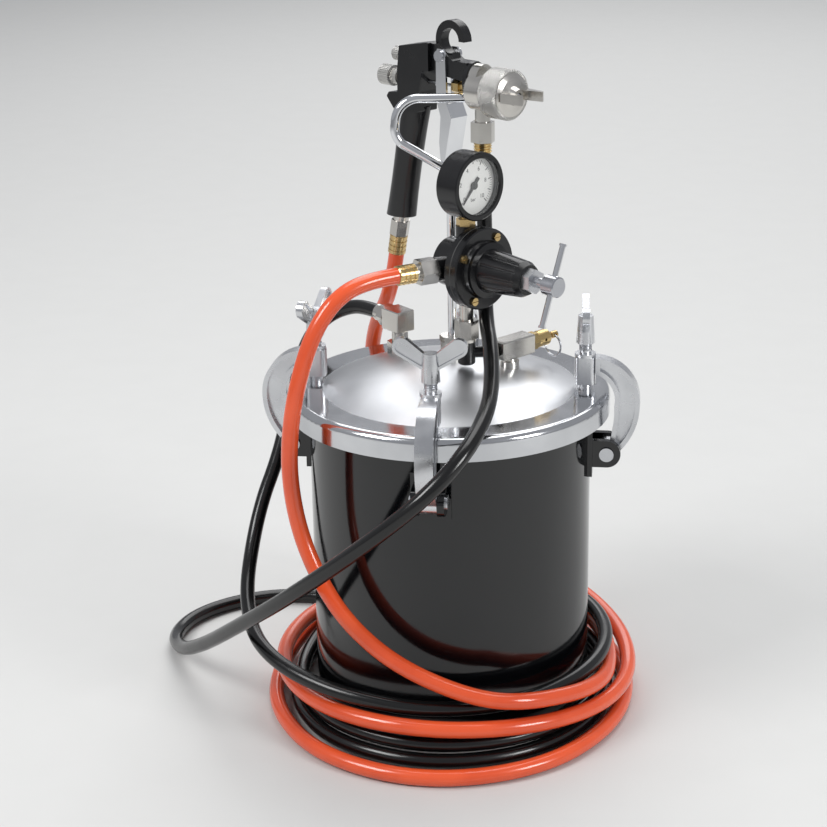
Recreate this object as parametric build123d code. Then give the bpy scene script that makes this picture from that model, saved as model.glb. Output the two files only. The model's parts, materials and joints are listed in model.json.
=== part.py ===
from build123d import *
import math
import os

# Pressure-feed paint tank with its regulator, gauge, spray gun and two hoses.
# Millimetres, +Z up, origin on the tank's axis in the plane of its base.
# Azimuths are degrees about Z from +X; the front clamp stands on -Y.

# ---------------------------------------------------------------- driving dimensions
# Tank
TANK_RADIUS = 122.0          # outside
TANK_WALL = 2.0
TANK_CORNER = 22.0           # outside radius where the side turns into the base
FLANGE_TOP = 279.0
FLANGE_RADIUS = 134.0
FLANGE_THICK = 3.0

# Gasket and lid
GASKET_HEIGHT = 6.0
GASKET_WIDTH = 10.0
LID_WALL = 2.5
LID_RADIUS = 138.6
LID_SKIRT = 20.0             # height of the turned-down rim
LID_SHOULDER = 6.0           # outside radius over the rim
DOME_RADIUS = 110.0          # where the dome leaves the flat step
DOME_RISE = 22.0             # crown above the step

# Swing clamps
CLAMP_AZIMUTHS = {"front": -90.0, "right": 0.0, "back": 90.0, "left": 180.0}
WING_TURNS = {"front": 0.0, "right": 4.0, "back": 28.0, "left": -14.0}
PIN_RADIUS = 4.0
PIN_REACH = 15.0             # pin axis outside the tank wall
PIN_HEIGHT = 233.0
PIN_HEAD_RADIUS = 6.2
PIN_HEAD_THICK = 2.0
ARM_WIDTH = 15.0
ARM_WEB = 6.0
ARM_EDGE = 4.0
ARM_BULGE = 27.0             # arm's outside beyond the pin axis
ARM_DEPTH = 21.5             # arm's plate from outside to inside at its middle
EYE_RADIUS = 10.0
BRACKET_CHEEK = 6.0
BRACKET_RADIUS = 12.0
SCREW_RADIUS = 4.9
SCREW_INSET = 5.0            # screw axis inside the tank's outside radius
BLOCK_WIDTH = 18.0
BLOCK_HEIGHT = 24.0
BLOCK_GAP = 5.5              # arm's block above the lid's step
PAD_RADIUS = 5.6
PAD_THICK = 5.0
SCREW_LIFT = 6.0             # how far a screw draws its pad off the lid
COLLAR_HEIGHT = 3.0          # round collar on the block
HUB_RADIUS = 8.0
HUB_HEIGHT = 24.0
HUB_LIFT = 12.0              # bare thread between block and hub
WING_REACH = 23.0
WING_RADIUS = 7.5
WING_THICK = 6.0
WING_WEB = 2.8
WING_EDGE = 2.2
FLUTE_COUNT = 8
FLUTE_RADIUS = 1.6

# Gun hanger
HANGER = (0.0, 24.0)
HANGER_STUD_RADIUS = 10.5
HANGER_STUD_TOP = 320.0
HANGER_NUT_FLATS = 20.0
HANGER_NUT_HEIGHT = 5.0
ROD_RADIUS = 4.0
HOOK_AZIMUTH = 8.23          # the hook lies in this upright plane
HOOK_ROUTE = ((0.0, 469.0), (-48.0, 498.0), (-44.0, 531.9), (14.0, 531.9))
HOOK_BENDS = (9.0, 16.0, 20.0)

# Fluid outlet
OUTLET = (-50.0, 47.0)
OUTLET_BOSS_FLATS = 20.0
OUTLET_BOSS_TOP = 311.0
OUTLET_POST_RADIUS = 7.2
OUTLET_POST_LENGTH = 10.0
ELBOW_SIDE = 19.0
ELBOW_LENGTH = 24.0
ELBOW_AZIMUTH = 135.0
HOSE_NUT_FLATS = 18.0
OUTLET_NUT_LENGTH = 8.0
OUTLET_SLEEVE_LENGTH = 8.0
DIP_RADIUS = 6.0
DIP_WALL = 1.0
DIP_GAP = 10.0               # open end above the tank's floor
SPIGOT_SINK = 8.0            # how far the hanger's spigot reaches under the crown

# Air inlet manifold
INLET_FOOT = (52.0, 2.0)
INLET_FOOT_RADIUS = 8.2
INLET_NECK = 3.0             # narrower stretch under the manifold
MANIFOLD_HEIGHT = 322.0
MANIFOLD_AZIMUTH = 50.0
MANIFOLD_SIDE = 17.0
MANIFOLD_NEAR = 14.5         # from the foot to the near end
MANIFOLD_FAR = 23.5
NIPPLE_RADIUS = 5.0
TEE_RADIUS = 7.5
TEE_HEIGHT = 20.0
SAFETY_STEM_RADIUS = 2.0
SAFETY_STEM_REACH = 29.5     # cross hole from the manifold's end
SAFETY_RING_RADIUS = 9.5
SAFETY_RING_WIRE = 0.9

# Regulator
REGULATOR = (17.0, -15.0)
REGULATOR_HEIGHT = 399.0
REGULATOR_AZIMUTH = -38.0
PORT_AZIMUTH = -142.0
UNION_FLATS = 18.0
UNION_HEIGHT = 16.0
UNION_COLLAR = 3.0
BODY_RADIUS = 21.0
BODY_BACK = 24.0
NECK_ABOVE = 13.0            # gauge port beyond the body's radius
NECK_BELOW = 12.0
PORT_REACH = 10.0            # outlet port beyond the body's radius
AIR_NUT_LENGTH = 19.0
AIR_FERRULE_LENGTH = 17.0
FLANGE_DISC_RADIUS = 34.5
FLANGE_DISC_BACK = 8.0
FLANGE_DISC_THICK = 6.5
DIAPHRAGM_THICK = 1.0
BONNET_RADIUS = 18.5
BONNET_END_RADIUS = 14.5
BONNET_END = 72.0
BONNET_WALL = 3.0
BONNET_FLUTES = 12
BONNET_SCREW_RADIUS = 2.0
BONNET_SCREW_INSET = 6.0
BONNET_SCREW_ANGLES = (-28.0, 62.0, 152.0, 242.0)
REG_SCREW_RADIUS = 4.5
REG_TRAVEL = 8.0
REG_BOSS = 12.0              # solid end of the bonnet, and the room behind it
BUTTON_RADIUS = 8.4
BUTTON_THICK = 4.0
LOCK_NUT_THICK = 8.0
HEAD_GAP = 19.0              # bare screw and nut between bonnet and head
HEAD_RADIUS = 8.5
HEAD_LENGTH = 14.0
TEE_BAR_RADIUS = 2.5
TEE_BAR_LENGTH = 66.0
TEE_BAR_TILT = 21.0
TEE_KNOB_RADIUS = 3.2
TEE_KNOB_LENGTH = 2.0

# Gauge
GAUGE_RADIUS = 28.0
GAUGE_HEIGHT = 467.8
GAUGE_FRONT = 17.0
GAUGE_DEPTH = 25.0
GAUGE_WALL = 2.5
BEZEL_WIDTH = 4.5
BEZEL_DEPTH = 4.0
DIAL_RADIUS = 24.5
DIAL_SINK = 9.0              # dial's back behind the bezel's front
DIAL_THICK = 0.8
MOVEMENT_RADIUS = 11.0
SPINDLE_RADIUS = 1.5
SPINDLE_DEPTH = 4.0          # its bearing in front of the movement's back
NEEDLE_SINK = 7.4
NEEDLE_BLADE = ((-8, -1.4), (0, -1.4), (19, -0.4), (19, 0.4), (0, 1.4), (-8, 1.4))
LENS_THICK = 1.8
GAUGE_STEM_FLATS = 14.0
GAUGE_STEM_HEX = 6.0
GAUGE_STEM_RADIUS = 5.0

# Spray gun: x along the barrel, y to its left, z up, from the needle's axis
GUN = (9.4, 30.5, 540.0)
GUN_AZIMUTH = -39.0
GRIP_HALF_DEPTH = 15.0
GRIP_HALF_WIDTH = 11.0
GRIP_TOP = (-58.0, -22.0)
GRIP_BOTTOM = (-78.5, -122.0)
GUN_BLOCK_WIDTH = 22.0
GUN_BRIDGE_WIDTH = 14.4
GUN_BLOCK_OUTLINE = ((-66, 29), (-31, 35), (-22, 31), (-22, 12), (-38, 10), (-42, -8), (-43, -26), (-74, -26),
                     (-83, -16), (-80, -12), (-69, -11), (-69, 8))
GUN_HOOK_CENTRE = (-10.0, 38.0)
GUN_HOOK_RADIUS = 17.0
GUN_HOOK_BORE = 10.5
GUN_HOOK_WIDTH = 9.0
GUN_PLATE = 4.5
GUN_PLATE_FACE = 17.0
HEAD_FRONT = 38.0
NOSE_RADIUS = 13.0           # threaded nose that takes the cap ring
NOSE_LENGTH = 12.0
TIP_RADIUS = 2.6
CAP_OVERLAP = 5.0            # air cap's back inside the ring's front
CAP_RING_RADIUS = 21.0
CAP_RING_LENGTH = 20.0
AIR_CAP_RADIUS = 18.0
CAP_HORN = ((5, 7.5), (8, 16.5), (27, 14.5), (29, 11.5), (14, 8.5))
CAP_HORN_WIDTH = 8.0
NEEDLE_RADIUS = 1.5
NEEDLE_BACK = -88.0
NEEDLE_LENGTH = 152.0
TRIGGER_PIVOT = (-17.0, 25.0)
TRIGGER_WIDTH = 19.0
TRIGGER_WALL = 2.0
TRIGGER_TOP = ((-5, 3), (-3, 6), (3, 6), (6, 2))
TRIGGER_LEVER = ((7.5, -15), (13, -26), (8, -48), (4, -67), (0, -68), (-2, -48), (0, -26), (-5, -12))
PIVOT_RADIUS = 3.0
PIVOT_HEAD_RADIUS = 5.0
PIVOT_HEAD_THICK = 2.0
FLUID_INLET_X = 24.0
FLUID_INLET_FOOT = -26.0
FLUID_NUT_LENGTH = 17.0
FLUID_FERRULE_LENGTH = 9.0
GRIP_NUT_LENGTH = 19.0
GRIP_FERRULE_LENGTH = 18.0
FLUID_KNOB_BACK = -98.0
FLUID_SLEEVE_RADIUS = 4.7
PATTERN_KNOB_HEIGHT = 20.0
PATTERN_KNOB_BACK = -82.0
PATTERN_SLEEVE_RADIUS = 4.0

# Hoses
AIR_HOSE_DIAMETER = 14.0
FLUID_HOSE_DIAMETER = 13.0

# Clearances
RUNNING = 0.06               # radial, in bores that turn or slide
SIDE = 0.3                   # beside a part that swings
FREE = 0.4                   # between loose neighbours
SEAT = 0.02                  # radial, where a pin or screw is fixed in its hole
THROUGH = 40.0               # length of a cut that only has to come out
UP = (0, 0, 1)

# ---------------------------------------------------------------- worked-out places
PIN_R = TANK_RADIUS + PIN_REACH
SCREW_R = TANK_RADIUS - SCREW_INSET
LID_UNDER = FLANGE_TOP + GASKET_HEIGHT
LID_STEP = LID_UNDER + LID_WALL
LID_CROWN = LID_STEP + DOME_RISE
DOME_SPHERE = (DOME_RADIUS ** 2 + DOME_RISE ** 2) / (2 * DOME_RISE)
DOME_CENTRE = LID_CROWN - DOME_SPHERE
BRACKET_GAP = ARM_WIDTH + 2 * SIDE
BLOCK_BOTTOM = LID_STEP + BLOCK_GAP
BLOCK_TOP = BLOCK_BOTTOM + BLOCK_HEIGHT
HUB_BOTTOM = BLOCK_TOP + HUB_LIFT
HUB_TOP = HUB_BOTTOM + HUB_HEIGHT
GAUGE_BACK = GAUGE_FRONT - GAUGE_DEPTH
BONNET_BACK = FLANGE_DISC_BACK + FLANGE_DISC_THICK + DIAPHRAGM_THICK
BONNET_FACE = BONNET_BACK + FLANGE_DISC_THICK
REG_HEAD_BACK = BONNET_END + HEAD_GAP
BUTTON_BACK = BONNET_END - REG_BOSS - REG_TRAVEL
PORT_END = BODY_RADIUS + PORT_REACH
AIR_HOSE_START = PORT_END + AIR_NUT_LENGTH + AIR_FERRULE_LENGTH
OUTLET_REACH = ELBOW_LENGTH - ELBOW_SIDE / 2
CAP_BACK = HEAD_FRONT + CAP_RING_LENGTH - CAP_OVERLAP


# ---------------------------------------------------------------- helpers
def heading(azimuth, pitch=0.0):
    """Unit vector at an azimuth, pitched up by some degrees."""
    a, p = math.radians(azimuth), math.radians(pitch)
    return Vector(math.cos(a) * math.cos(p), math.sin(a) * math.cos(p), math.sin(p))


def across(direction):
    """A unit vector square to a direction."""
    other = Vector(*UP) if abs(direction.Z) < 0.9 else Vector(0, 1, 0)
    return other.cross(direction).normalized()


def turned(origin, direction, profile):
    """A turned solid from (distance along the axis, radius) points."""
    direction = Vector(*direction).normalized()
    plane = Plane(origin=origin, x_dir=direction, z_dir=across(direction))
    outline = make_face(Polyline(*profile, close=True))
    return revolve(plane * outline, axis=Axis(origin, direction))


def bar(origin, direction, radius, length, bore=0.0):
    """A round bar or tube from an origin along a direction."""
    plane = Plane(origin=origin, z_dir=Vector(*direction))
    section = Circle(radius)
    if bore:
        section -= Circle(bore)
    return extrude(plane * section, length)


def hexagon(origin, direction, flats, length, bore=0.0):
    """A hexagonal bar, flats apart, from an origin along a direction."""
    plane = Plane(origin=origin, z_dir=Vector(*direction))
    section = RegularPolygon(flats / 2, 6, major_radius=False)
    if bore:
        section -= Circle(bore)
    return extrude(plane * section, length)


def slab(outline, width):
    """Extrude an outline of (x, z) points to both sides of the XZ plane."""
    return extrude(Plane.XZ * outline, width / 2, both=True)


def dome_body():
    """Everything under the dome's and the step's outside surface."""
    ball = Pos(0, 0, DOME_CENTRE) * Sphere(DOME_SPHERE)
    keep = bar((0, 0, LID_STEP), UP, DOME_RADIUS, 2 * DOME_RISE)
    under = bar((0, 0, 0), UP, LID_RADIUS, LID_STEP)
    return (ball & keep) + under


def quarter(shape, azimuth):
    """Turn a shape made on +X to its azimuth."""
    return Rot(0, 0, azimuth) * shape


# ---------------------------------------------------------------- tank and lid
def tank_shell():
    """Deep-drawn pot with a turned-out flange."""
    inner = TANK_RADIUS - TANK_WALL
    blank = bar((0, 0, 0), UP, TANK_RADIUS, FLANGE_TOP)
    blank = fillet(blank.edges().group_by(Axis.Z)[0], TANK_CORNER)
    hollow = bar((0, 0, TANK_WALL), UP, inner, FLANGE_TOP)
    hollow = fillet(hollow.edges().group_by(Axis.Z)[0], TANK_CORNER - TANK_WALL)
    flange = bar((0, 0, FLANGE_TOP - FLANGE_THICK), UP, FLANGE_RADIUS, FLANGE_THICK, inner)
    return (blank - hollow) + flange


def lid():
    """Domed lid with a flat step and a turned-down rim, drilled for its fittings."""
    rim_bottom = LID_STEP - LID_SKIRT
    outer = bar((0, 0, rim_bottom), UP, LID_RADIUS, LID_SKIRT)
    outer = fillet(outer.edges().group_by(Axis.Z)[-1], LID_SHOULDER)
    pocket = bar((0, 0, rim_bottom), UP, LID_RADIUS - LID_WALL, LID_UNDER - rim_bottom)
    pocket = fillet(pocket.edges().group_by(Axis.Z)[-1], LID_SHOULDER - LID_WALL)
    keep = bar((0, 0, LID_STEP), UP, DOME_RADIUS, 2 * DOME_RISE)
    crown = (Pos(0, 0, DOME_CENTRE) * Sphere(DOME_SPHERE)) & keep
    under = (Pos(0, 0, DOME_CENTRE - LID_WALL) * Sphere(DOME_SPHERE)) & \
        bar((0, 0, LID_UNDER), UP, DOME_RADIUS, 2 * DOME_RISE)
    shell = (outer - pocket) + crown - under
    for place in (OUTLET, INLET_FOOT, HANGER):
        shell -= bar((*place, LID_UNDER), UP, DIP_RADIUS + RUNNING, 2 * DOME_RISE)
    return shell


def lid_gasket():
    """Flat sealing ring between the flange and the lid."""
    outer = LID_RADIUS - LID_SHOULDER - FREE
    return bar((0, 0, FLANGE_TOP), UP, outer, GASKET_HEIGHT, outer - GASKET_WIDTH)


def clamp_brackets():
    """One forked lug per clamp, seated on the tank's wall."""
    reach = PIN_R - TANK_RADIUS
    side = Pos(TANK_RADIUS, PIN_HEIGHT) * Rectangle(2 * reach, 2 * BRACKET_RADIUS) + \
        Pos(PIN_R, PIN_HEIGHT) * Circle(BRACKET_RADIUS)
    width = BRACKET_GAP + 2 * BRACKET_CHEEK
    fork = slab(side, width)
    back = 3.0
    gap_side = Pos(TANK_RADIUS + back + 50, PIN_HEIGHT) * Rectangle(100, 100)
    fork -= slab(gap_side, BRACKET_GAP)
    plate = Pos(TANK_RADIUS - 1.5, PIN_HEIGHT) * Rectangle(9.0, 2 * BRACKET_RADIUS + 16)
    fork += slab(plate, width + 6)
    fork -= Cylinder(TANK_RADIUS, 2 * FLANGE_TOP)
    fork -= bar((PIN_R, -width, PIN_HEIGHT), (0, 1, 0), PIN_RADIUS + SEAT, 2 * width)
    return [quarter(fork, azimuth) for azimuth in CLAMP_AZIMUTHS.values()]


def clamp_pins():
    """Headed pins that the clamp arms swing on."""
    half = BRACKET_GAP / 2 + BRACKET_CHEEK
    pin = bar((PIN_R, -half, PIN_HEIGHT), (0, 1, 0), PIN_RADIUS, 2 * half)
    for side in (-1, 1):
        pin += bar((PIN_R, side * half, PIN_HEIGHT), (0, side, 0), PIN_HEAD_RADIUS, PIN_HEAD_THICK)
    return [quarter(pin, azimuth) for azimuth in CLAMP_AZIMUTHS.values()]


def arm_outline():
    """The arm's crescent, from its eye up to the screw block, as an (x, z) face."""
    far = PIN_R + ARM_BULGE
    top = BLOCK_TOP
    eye = PIN_HEIGHT
    start = (SCREW_R + BLOCK_WIDTH / 2, top)
    belly = (far, (top + eye) / 2 + 6)
    outer_end = (PIN_R + 10.0, eye)
    inner_end = (PIN_R + 2.0, eye + 9.0)
    inner = far - ARM_DEPTH
    inner_belly = (inner, (top + eye) / 2)
    inner_start = (SCREW_R + BLOCK_WIDTH / 2, top - 14.0)
    outer_1 = ThreePointArc(start, (far - 8.5, top - 15.0), belly)
    outer_2 = ThreePointArc(belly, (far - 4.0, eye + 20.0), outer_end)
    foot = Line(outer_end, inner_end)
    inner_1 = ThreePointArc(inner_end, (inner - 0.6, eye + 24.0), inner_belly)
    inner_2 = ThreePointArc(inner_belly, (inner - 4.0, top - 23.0), inner_start)
    return make_face([outer_1, outer_2, foot, inner_1, inner_2, Line(inner_start, start)])


def clamp_arm(azimuth):
    """Cast C-shaped arm: eye on the pin, lightened web, block with a pocket for the pad."""
    crescent = arm_outline()
    arm = slab(crescent, ARM_WIDTH)
    recess = offset(crescent, amount=-ARM_EDGE)
    for side in (-1, 1):
        web_face = side * ARM_WEB / 2
        arm -= extrude(Plane(origin=(0, web_face, 0), x_dir=(1, 0, 0), z_dir=(0, -1, 0)) * recess,
                       -side * ARM_WIDTH)
    arm += slab(Pos(PIN_R, PIN_HEIGHT) * Circle(EYE_RADIUS), ARM_WIDTH)
    side = Pos(SCREW_R, BLOCK_BOTTOM + BLOCK_HEIGHT / 2) * Rectangle(BLOCK_WIDTH, BLOCK_HEIGHT)
    arm += fillet(slab(side, ARM_WIDTH).edges().filter_by(Axis.Z), ARM_EDGE)
    arm += bar((SCREW_R, 0, BLOCK_TOP), UP, BLOCK_WIDTH / 2, COLLAR_HEIGHT)
    pocket = PAD_THICK + SCREW_LIFT + RUNNING + SIDE - BLOCK_GAP
    arm -= bar((SCREW_R, 0, BLOCK_BOTTOM), UP, PAD_RADIUS + SIDE, pocket)
    arm -= bar((SCREW_R, 0, BLOCK_BOTTOM), UP, SCREW_RADIUS + RUNNING, THROUGH)
    arm -= bar((PIN_R, -ARM_WIDTH, PIN_HEIGHT), (0, 1, 0), PIN_RADIUS + RUNNING, 2 * ARM_WIDTH)
    return quarter(arm, azimuth)


def clamp_pad(azimuth):
    """Swivel pad that the screw presses on the lid."""
    tip = bar((SCREW_R, 0, LID_STEP + RUNNING), UP, PAD_RADIUS, PAD_THICK)
    return quarter(tip, azimuth)


def clamp_screw(azimuth, wing_turn):
    """Thumbscrew: thread, fluted hub and two recessed wings."""
    start = LID_STEP + RUNNING + PAD_THICK
    screw = bar((0, 0, start), UP, SCREW_RADIUS, HUB_BOTTOM - start + 1)
    hub = turned((0, 0, HUB_BOTTOM), UP,
                 [(0, 0), (0, HUB_RADIUS), (HUB_HEIGHT, HUB_RADIUS - 1.5), (HUB_HEIGHT, 0)])
    for index in range(FLUTE_COUNT):
        flute = heading(360.0 * (index + 0.5) / FLUTE_COUNT) * (HUB_RADIUS + 0.6)
        hub -= bar((flute.X, flute.Y, HUB_BOTTOM - 1), UP, FLUTE_RADIUS, THROUGH)
    screw += hub
    tip_height = HUB_TOP + 5.0
    for side in (-1, 1):
        root = Polyline((side * 4.0, HUB_BOTTOM + 9.0), (side * 4.0, HUB_TOP - 1.0))
        knob = Pos(side * WING_REACH, tip_height) * Circle(WING_RADIUS)
        outline = make_hull([*root.edges(), *knob.edges()])
        wing = slab(outline, WING_THICK)
        hollow = offset(outline, amount=-WING_EDGE)
        for face in (-1, 1):
            web = Plane(origin=(0, face * WING_WEB / 2, 0), x_dir=(1, 0, 0), z_dir=(0, -1, 0))
            wing -= extrude(web * hollow, -face * WING_THICK)
        screw += wing
    return quarter(Pos(SCREW_R, 0, 0) * (Rot(0, 0, 90 + wing_turn) * screw), azimuth)


# ---------------------------------------------------------------- gun hanger
def hook_point(along, height):
    """A point of the hook's plane in the object's frame."""
    out = heading(HOOK_AZIMUTH) * along
    return (HANGER[0] + out.X, HANGER[1] + out.Y, height)


def hanger_stud():
    """Turned stud on the lid's crown, with its spigot and the hexagon round the rod's foot."""
    stud = bar((*HANGER, LID_STEP), UP, HANGER_STUD_RADIUS, HANGER_STUD_TOP - LID_STEP)
    stud -= dome_body()
    stud += bar((*HANGER, LID_CROWN - LID_WALL - SPIGOT_SINK), UP, DIP_RADIUS, SPIGOT_SINK + 4.0)
    return stud + hexagon((*HANGER, HANGER_STUD_TOP), UP, HANGER_NUT_FLATS, HANGER_NUT_HEIGHT, ROD_RADIUS)


def hanger_rod():
    """Upright rod bent into the open loop that the gun hangs on."""
    foot = hook_point(0.0, HANGER_STUD_TOP)
    points = [foot] + [hook_point(*point) for point in HOOK_ROUTE]
    path = FilletPolyline(*points, radius=list(HOOK_BENDS))
    section = Plane(origin=foot, z_dir=UP) * Circle(ROD_RADIUS)
    return sweep(section, path=path)


# ---------------------------------------------------------------- fluid outlet
def outlet_boss():
    """Hexagon boss over the dip tube, with the round post that carries the elbow."""
    boss = hexagon((*OUTLET, LID_STEP), UP, OUTLET_BOSS_FLATS, OUTLET_BOSS_TOP - LID_STEP)
    boss -= dome_body()
    boss += bar((*OUTLET, LID_STEP + 2), UP, DIP_RADIUS, OUTLET_BOSS_TOP - LID_STEP - 2)
    boss += bar((*OUTLET, OUTLET_BOSS_TOP), UP, OUTLET_POST_RADIUS, OUTLET_POST_LENGTH)
    return boss - bar((*OUTLET, LID_STEP), UP, DIP_RADIUS - DIP_WALL, THROUGH)


def elbow_centre():
    """Centre of the elbow's near end, at the height of its bore."""
    return Vector(*OUTLET, OUTLET_BOSS_TOP + OUTLET_POST_LENGTH + ELBOW_SIDE / 2)


def outlet_elbow():
    """Square-bodied elbow from the post to the fluid hose."""
    along = heading(ELBOW_AZIMUTH)
    start = elbow_centre() - along * (ELBOW_SIDE / 2)
    plane = Plane(origin=start, x_dir=across(along), z_dir=along)
    block = chamfer(extrude(plane * Rectangle(ELBOW_SIDE, ELBOW_SIDE), ELBOW_LENGTH).edges(), 0.8)
    block -= bar(elbow_centre(), along, DIP_RADIUS - DIP_WALL, ELBOW_LENGTH)
    return block - bar(elbow_centre(), (0, 0, -1), DIP_RADIUS - DIP_WALL, ELBOW_SIDE)


def outlet_nut():
    """Hexagon hose nut and sleeve on the elbow."""
    along = heading(ELBOW_AZIMUTH)
    start = elbow_centre() + along * OUTLET_REACH
    sleeve = start + along * OUTLET_NUT_LENGTH
    nut = hexagon(start, along, HOSE_NUT_FLATS, OUTLET_NUT_LENGTH)
    nut += bar(sleeve, along, FLUID_HOSE_DIAMETER / 2 + 1.2, OUTLET_SLEEVE_LENGTH)
    return nut - bar(start, along, DIP_RADIUS - DIP_WALL, THROUGH)


def outlet_hose_start():
    """Where the fluid hose leaves the outlet."""
    reach = OUTLET_REACH + OUTLET_NUT_LENGTH + OUTLET_SLEEVE_LENGTH
    return elbow_centre() + heading(ELBOW_AZIMUTH) * reach


def dip_tube():
    """Tube from the lid to just above the tank's floor."""
    bottom = TANK_WALL + DIP_GAP
    return bar((*OUTLET, bottom), UP, DIP_RADIUS, LID_STEP - bottom + 2, DIP_RADIUS - DIP_WALL)


# ---------------------------------------------------------------- air inlet manifold
def manifold_end(distance):
    """A point on the manifold's axis, from the foot."""
    out = heading(MANIFOLD_AZIMUTH) * distance
    return Vector(INLET_FOOT[0] + out.X, INLET_FOOT[1] + out.Y, MANIFOLD_HEIGHT)


def inlet_foot():
    """Round foot that carries the manifold on the lid."""
    neck = MANIFOLD_HEIGHT - MANIFOLD_SIDE / 2 - LID_STEP
    foot = bar((*INLET_FOOT, LID_STEP), UP, INLET_FOOT_RADIUS, neck - INLET_NECK)
    foot -= dome_body()
    return foot + bar((*INLET_FOOT, LID_STEP + 4), UP, DIP_RADIUS, neck - 4)


def inlet_block():
    """Square manifold block lying across the lid."""
    along = heading(MANIFOLD_AZIMUTH)
    plane = Plane(origin=manifold_end(-MANIFOLD_NEAR), x_dir=across(along), z_dir=along)
    length = MANIFOLD_NEAR + MANIFOLD_FAR
    return chamfer(extrude(plane * Rectangle(MANIFOLD_SIDE, MANIFOLD_SIDE), length).edges(), 1.2)


def tee_centre():
    """Centre of the tee under the regulator."""
    return Vector(*REGULATOR, MANIFOLD_HEIGHT)


def inlet_tee():
    """Black tee that the regulator stands on, with its nipple to the manifold block."""
    profile = [(0, 0), (0, TEE_RADIUS - 1), (1, TEE_RADIUS), (TEE_HEIGHT, TEE_RADIUS), (TEE_HEIGHT, 0)]
    return inlet_nipple() + turned(tee_centre() - Vector(0, 0, TEE_HEIGHT / 2), UP, profile)


def inlet_nipple():
    """Nipple from the tee to the near end of the manifold block."""
    end = manifold_end(-MANIFOLD_NEAR)
    start = tee_centre()
    nipple = bar(start, end - start, NIPPLE_RADIUS, (end - start).length)
    along = heading(MANIFOLD_AZIMUTH)
    plane = Plane(origin=end, x_dir=across(along), z_dir=along)
    return nipple - extrude(plane * Rectangle(THROUGH, THROUGH), THROUGH)


def safety_start():
    """Centre of the manifold's far face."""
    return manifold_end(MANIFOLD_FAR)


def safety_body():
    """Relief valve body, open at its outer end for the stem."""
    along = heading(MANIFOLD_AZIMUTH)
    start = safety_start()
    body = hexagon(start, along, 14.0, 7.0)
    body += turned(start + along * 7.0, along, [(0, 0), (0, 5.5), (3, 7.2), (13, 7.2), (16, 5.0), (16, 0)])
    body -= bar(start + along * 4.0, along, SAFETY_STEM_RADIUS + RUNNING, THROUGH)
    return body - bar(start + along * 14.0 - across(along) * 10, across(along), 1.3, 20.0)


def safety_stem():
    """Sprung stem with a cross hole for the ring."""
    along = heading(MANIFOLD_AZIMUTH)
    start = safety_start() + along * 6.0
    stem = bar(start, along, SAFETY_STEM_RADIUS, 22.0) + bar(start + along * 20.0, along, 3.2, 7.0)
    return stem - bar(safety_ring_hole() - across(along) * 10, across(along), 2 * SAFETY_RING_WIRE, 20.0)


def safety_ring_hole():
    """Centre of the stem's cross hole."""
    return safety_start() + heading(MANIFOLD_AZIMUTH) * SAFETY_STEM_REACH


def safety_ring():
    """Pull ring hanging from the stem."""
    along = heading(MANIFOLD_AZIMUTH)
    centre = safety_ring_hole() - Vector(0, 0, SAFETY_RING_RADIUS)
    plane = Plane(origin=centre, x_dir=across(along), z_dir=along)
    return plane * Torus(SAFETY_RING_RADIUS, SAFETY_RING_WIRE)


# ---------------------------------------------------------------- regulator
def at_regulator(shape):
    """Place a shape made along +X about the regulator's centre."""
    return Pos(*REGULATOR, REGULATOR_HEIGHT) * (Rot(0, 0, REGULATOR_AZIMUTH) * shape)


def regulator_point(along, left=0.0, up=0.0):
    """A point in the regulator's own directions."""
    a, b = heading(REGULATOR_AZIMUTH), heading(REGULATOR_AZIMUTH + 90)
    return Vector(*REGULATOR, REGULATOR_HEIGHT + up) + a * along + b * left


def union_nut():
    """Union nut with its collar on the tee and its nipple up to the regulator."""
    bottom = MANIFOLD_HEIGHT + TEE_HEIGHT / 2
    top = REGULATOR_HEIGHT - BODY_RADIUS - NECK_BELOW
    seat = bottom + UNION_COLLAR
    nut = bar((*REGULATOR, bottom), UP, 8.0, UNION_COLLAR)
    nut += hexagon((*REGULATOR, seat), UP, UNION_FLATS, UNION_HEIGHT)
    return nut + bar((*REGULATOR, seat), UP, 6.0, top - seat)


def regulator_body():
    """Cast body with its diaphragm flange and three ports."""
    body = turned((0, 0, 0), (1, 0, 0), [
        (-BODY_BACK, 0), (-BODY_BACK, BODY_RADIUS - 5), (-BODY_BACK + 5, BODY_RADIUS),
        (FLANGE_DISC_BACK, BODY_RADIUS), (FLANGE_DISC_BACK, FLANGE_DISC_RADIUS - 1),
        (FLANGE_DISC_BACK + 1, FLANGE_DISC_RADIUS),
        (FLANGE_DISC_BACK + FLANGE_DISC_THICK, FLANGE_DISC_RADIUS),
        (FLANGE_DISC_BACK + FLANGE_DISC_THICK, 0)])
    body += bar((0, 0, 0), UP, 8.5, BODY_RADIUS + NECK_ABOVE)
    body += bar((0, 0, 0), (0, 0, -1), 9.0, BODY_RADIUS + NECK_BELOW)
    body = at_regulator(body)
    port = heading(PORT_AZIMUTH)
    body += bar((*REGULATOR, REGULATOR_HEIGHT), port, 10.5, PORT_END)
    body -= at_regulator(bar((FLANGE_DISC_BACK, 0, 0), (1, 0, 0), 16.0, THROUGH))
    for left, up in screw_circle():
        body -= screw_hole(BONNET_BACK - 7.0, left, up)
    return body


def screw_hole(start, left, up):
    """A cut for one bonnet screw, from a distance along the regulator."""
    return bar(regulator_point(start, left, up), heading(REGULATOR_AZIMUTH), BONNET_SCREW_RADIUS, THROUGH)


def screw_circle():
    """Places of the four bonnet screws, as (left, up)."""
    reach = FLANGE_DISC_RADIUS - BONNET_SCREW_INSET
    sides = [heading(angle) * reach for angle in BONNET_SCREW_ANGLES]
    return [(side.X, side.Y) for side in sides]


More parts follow.
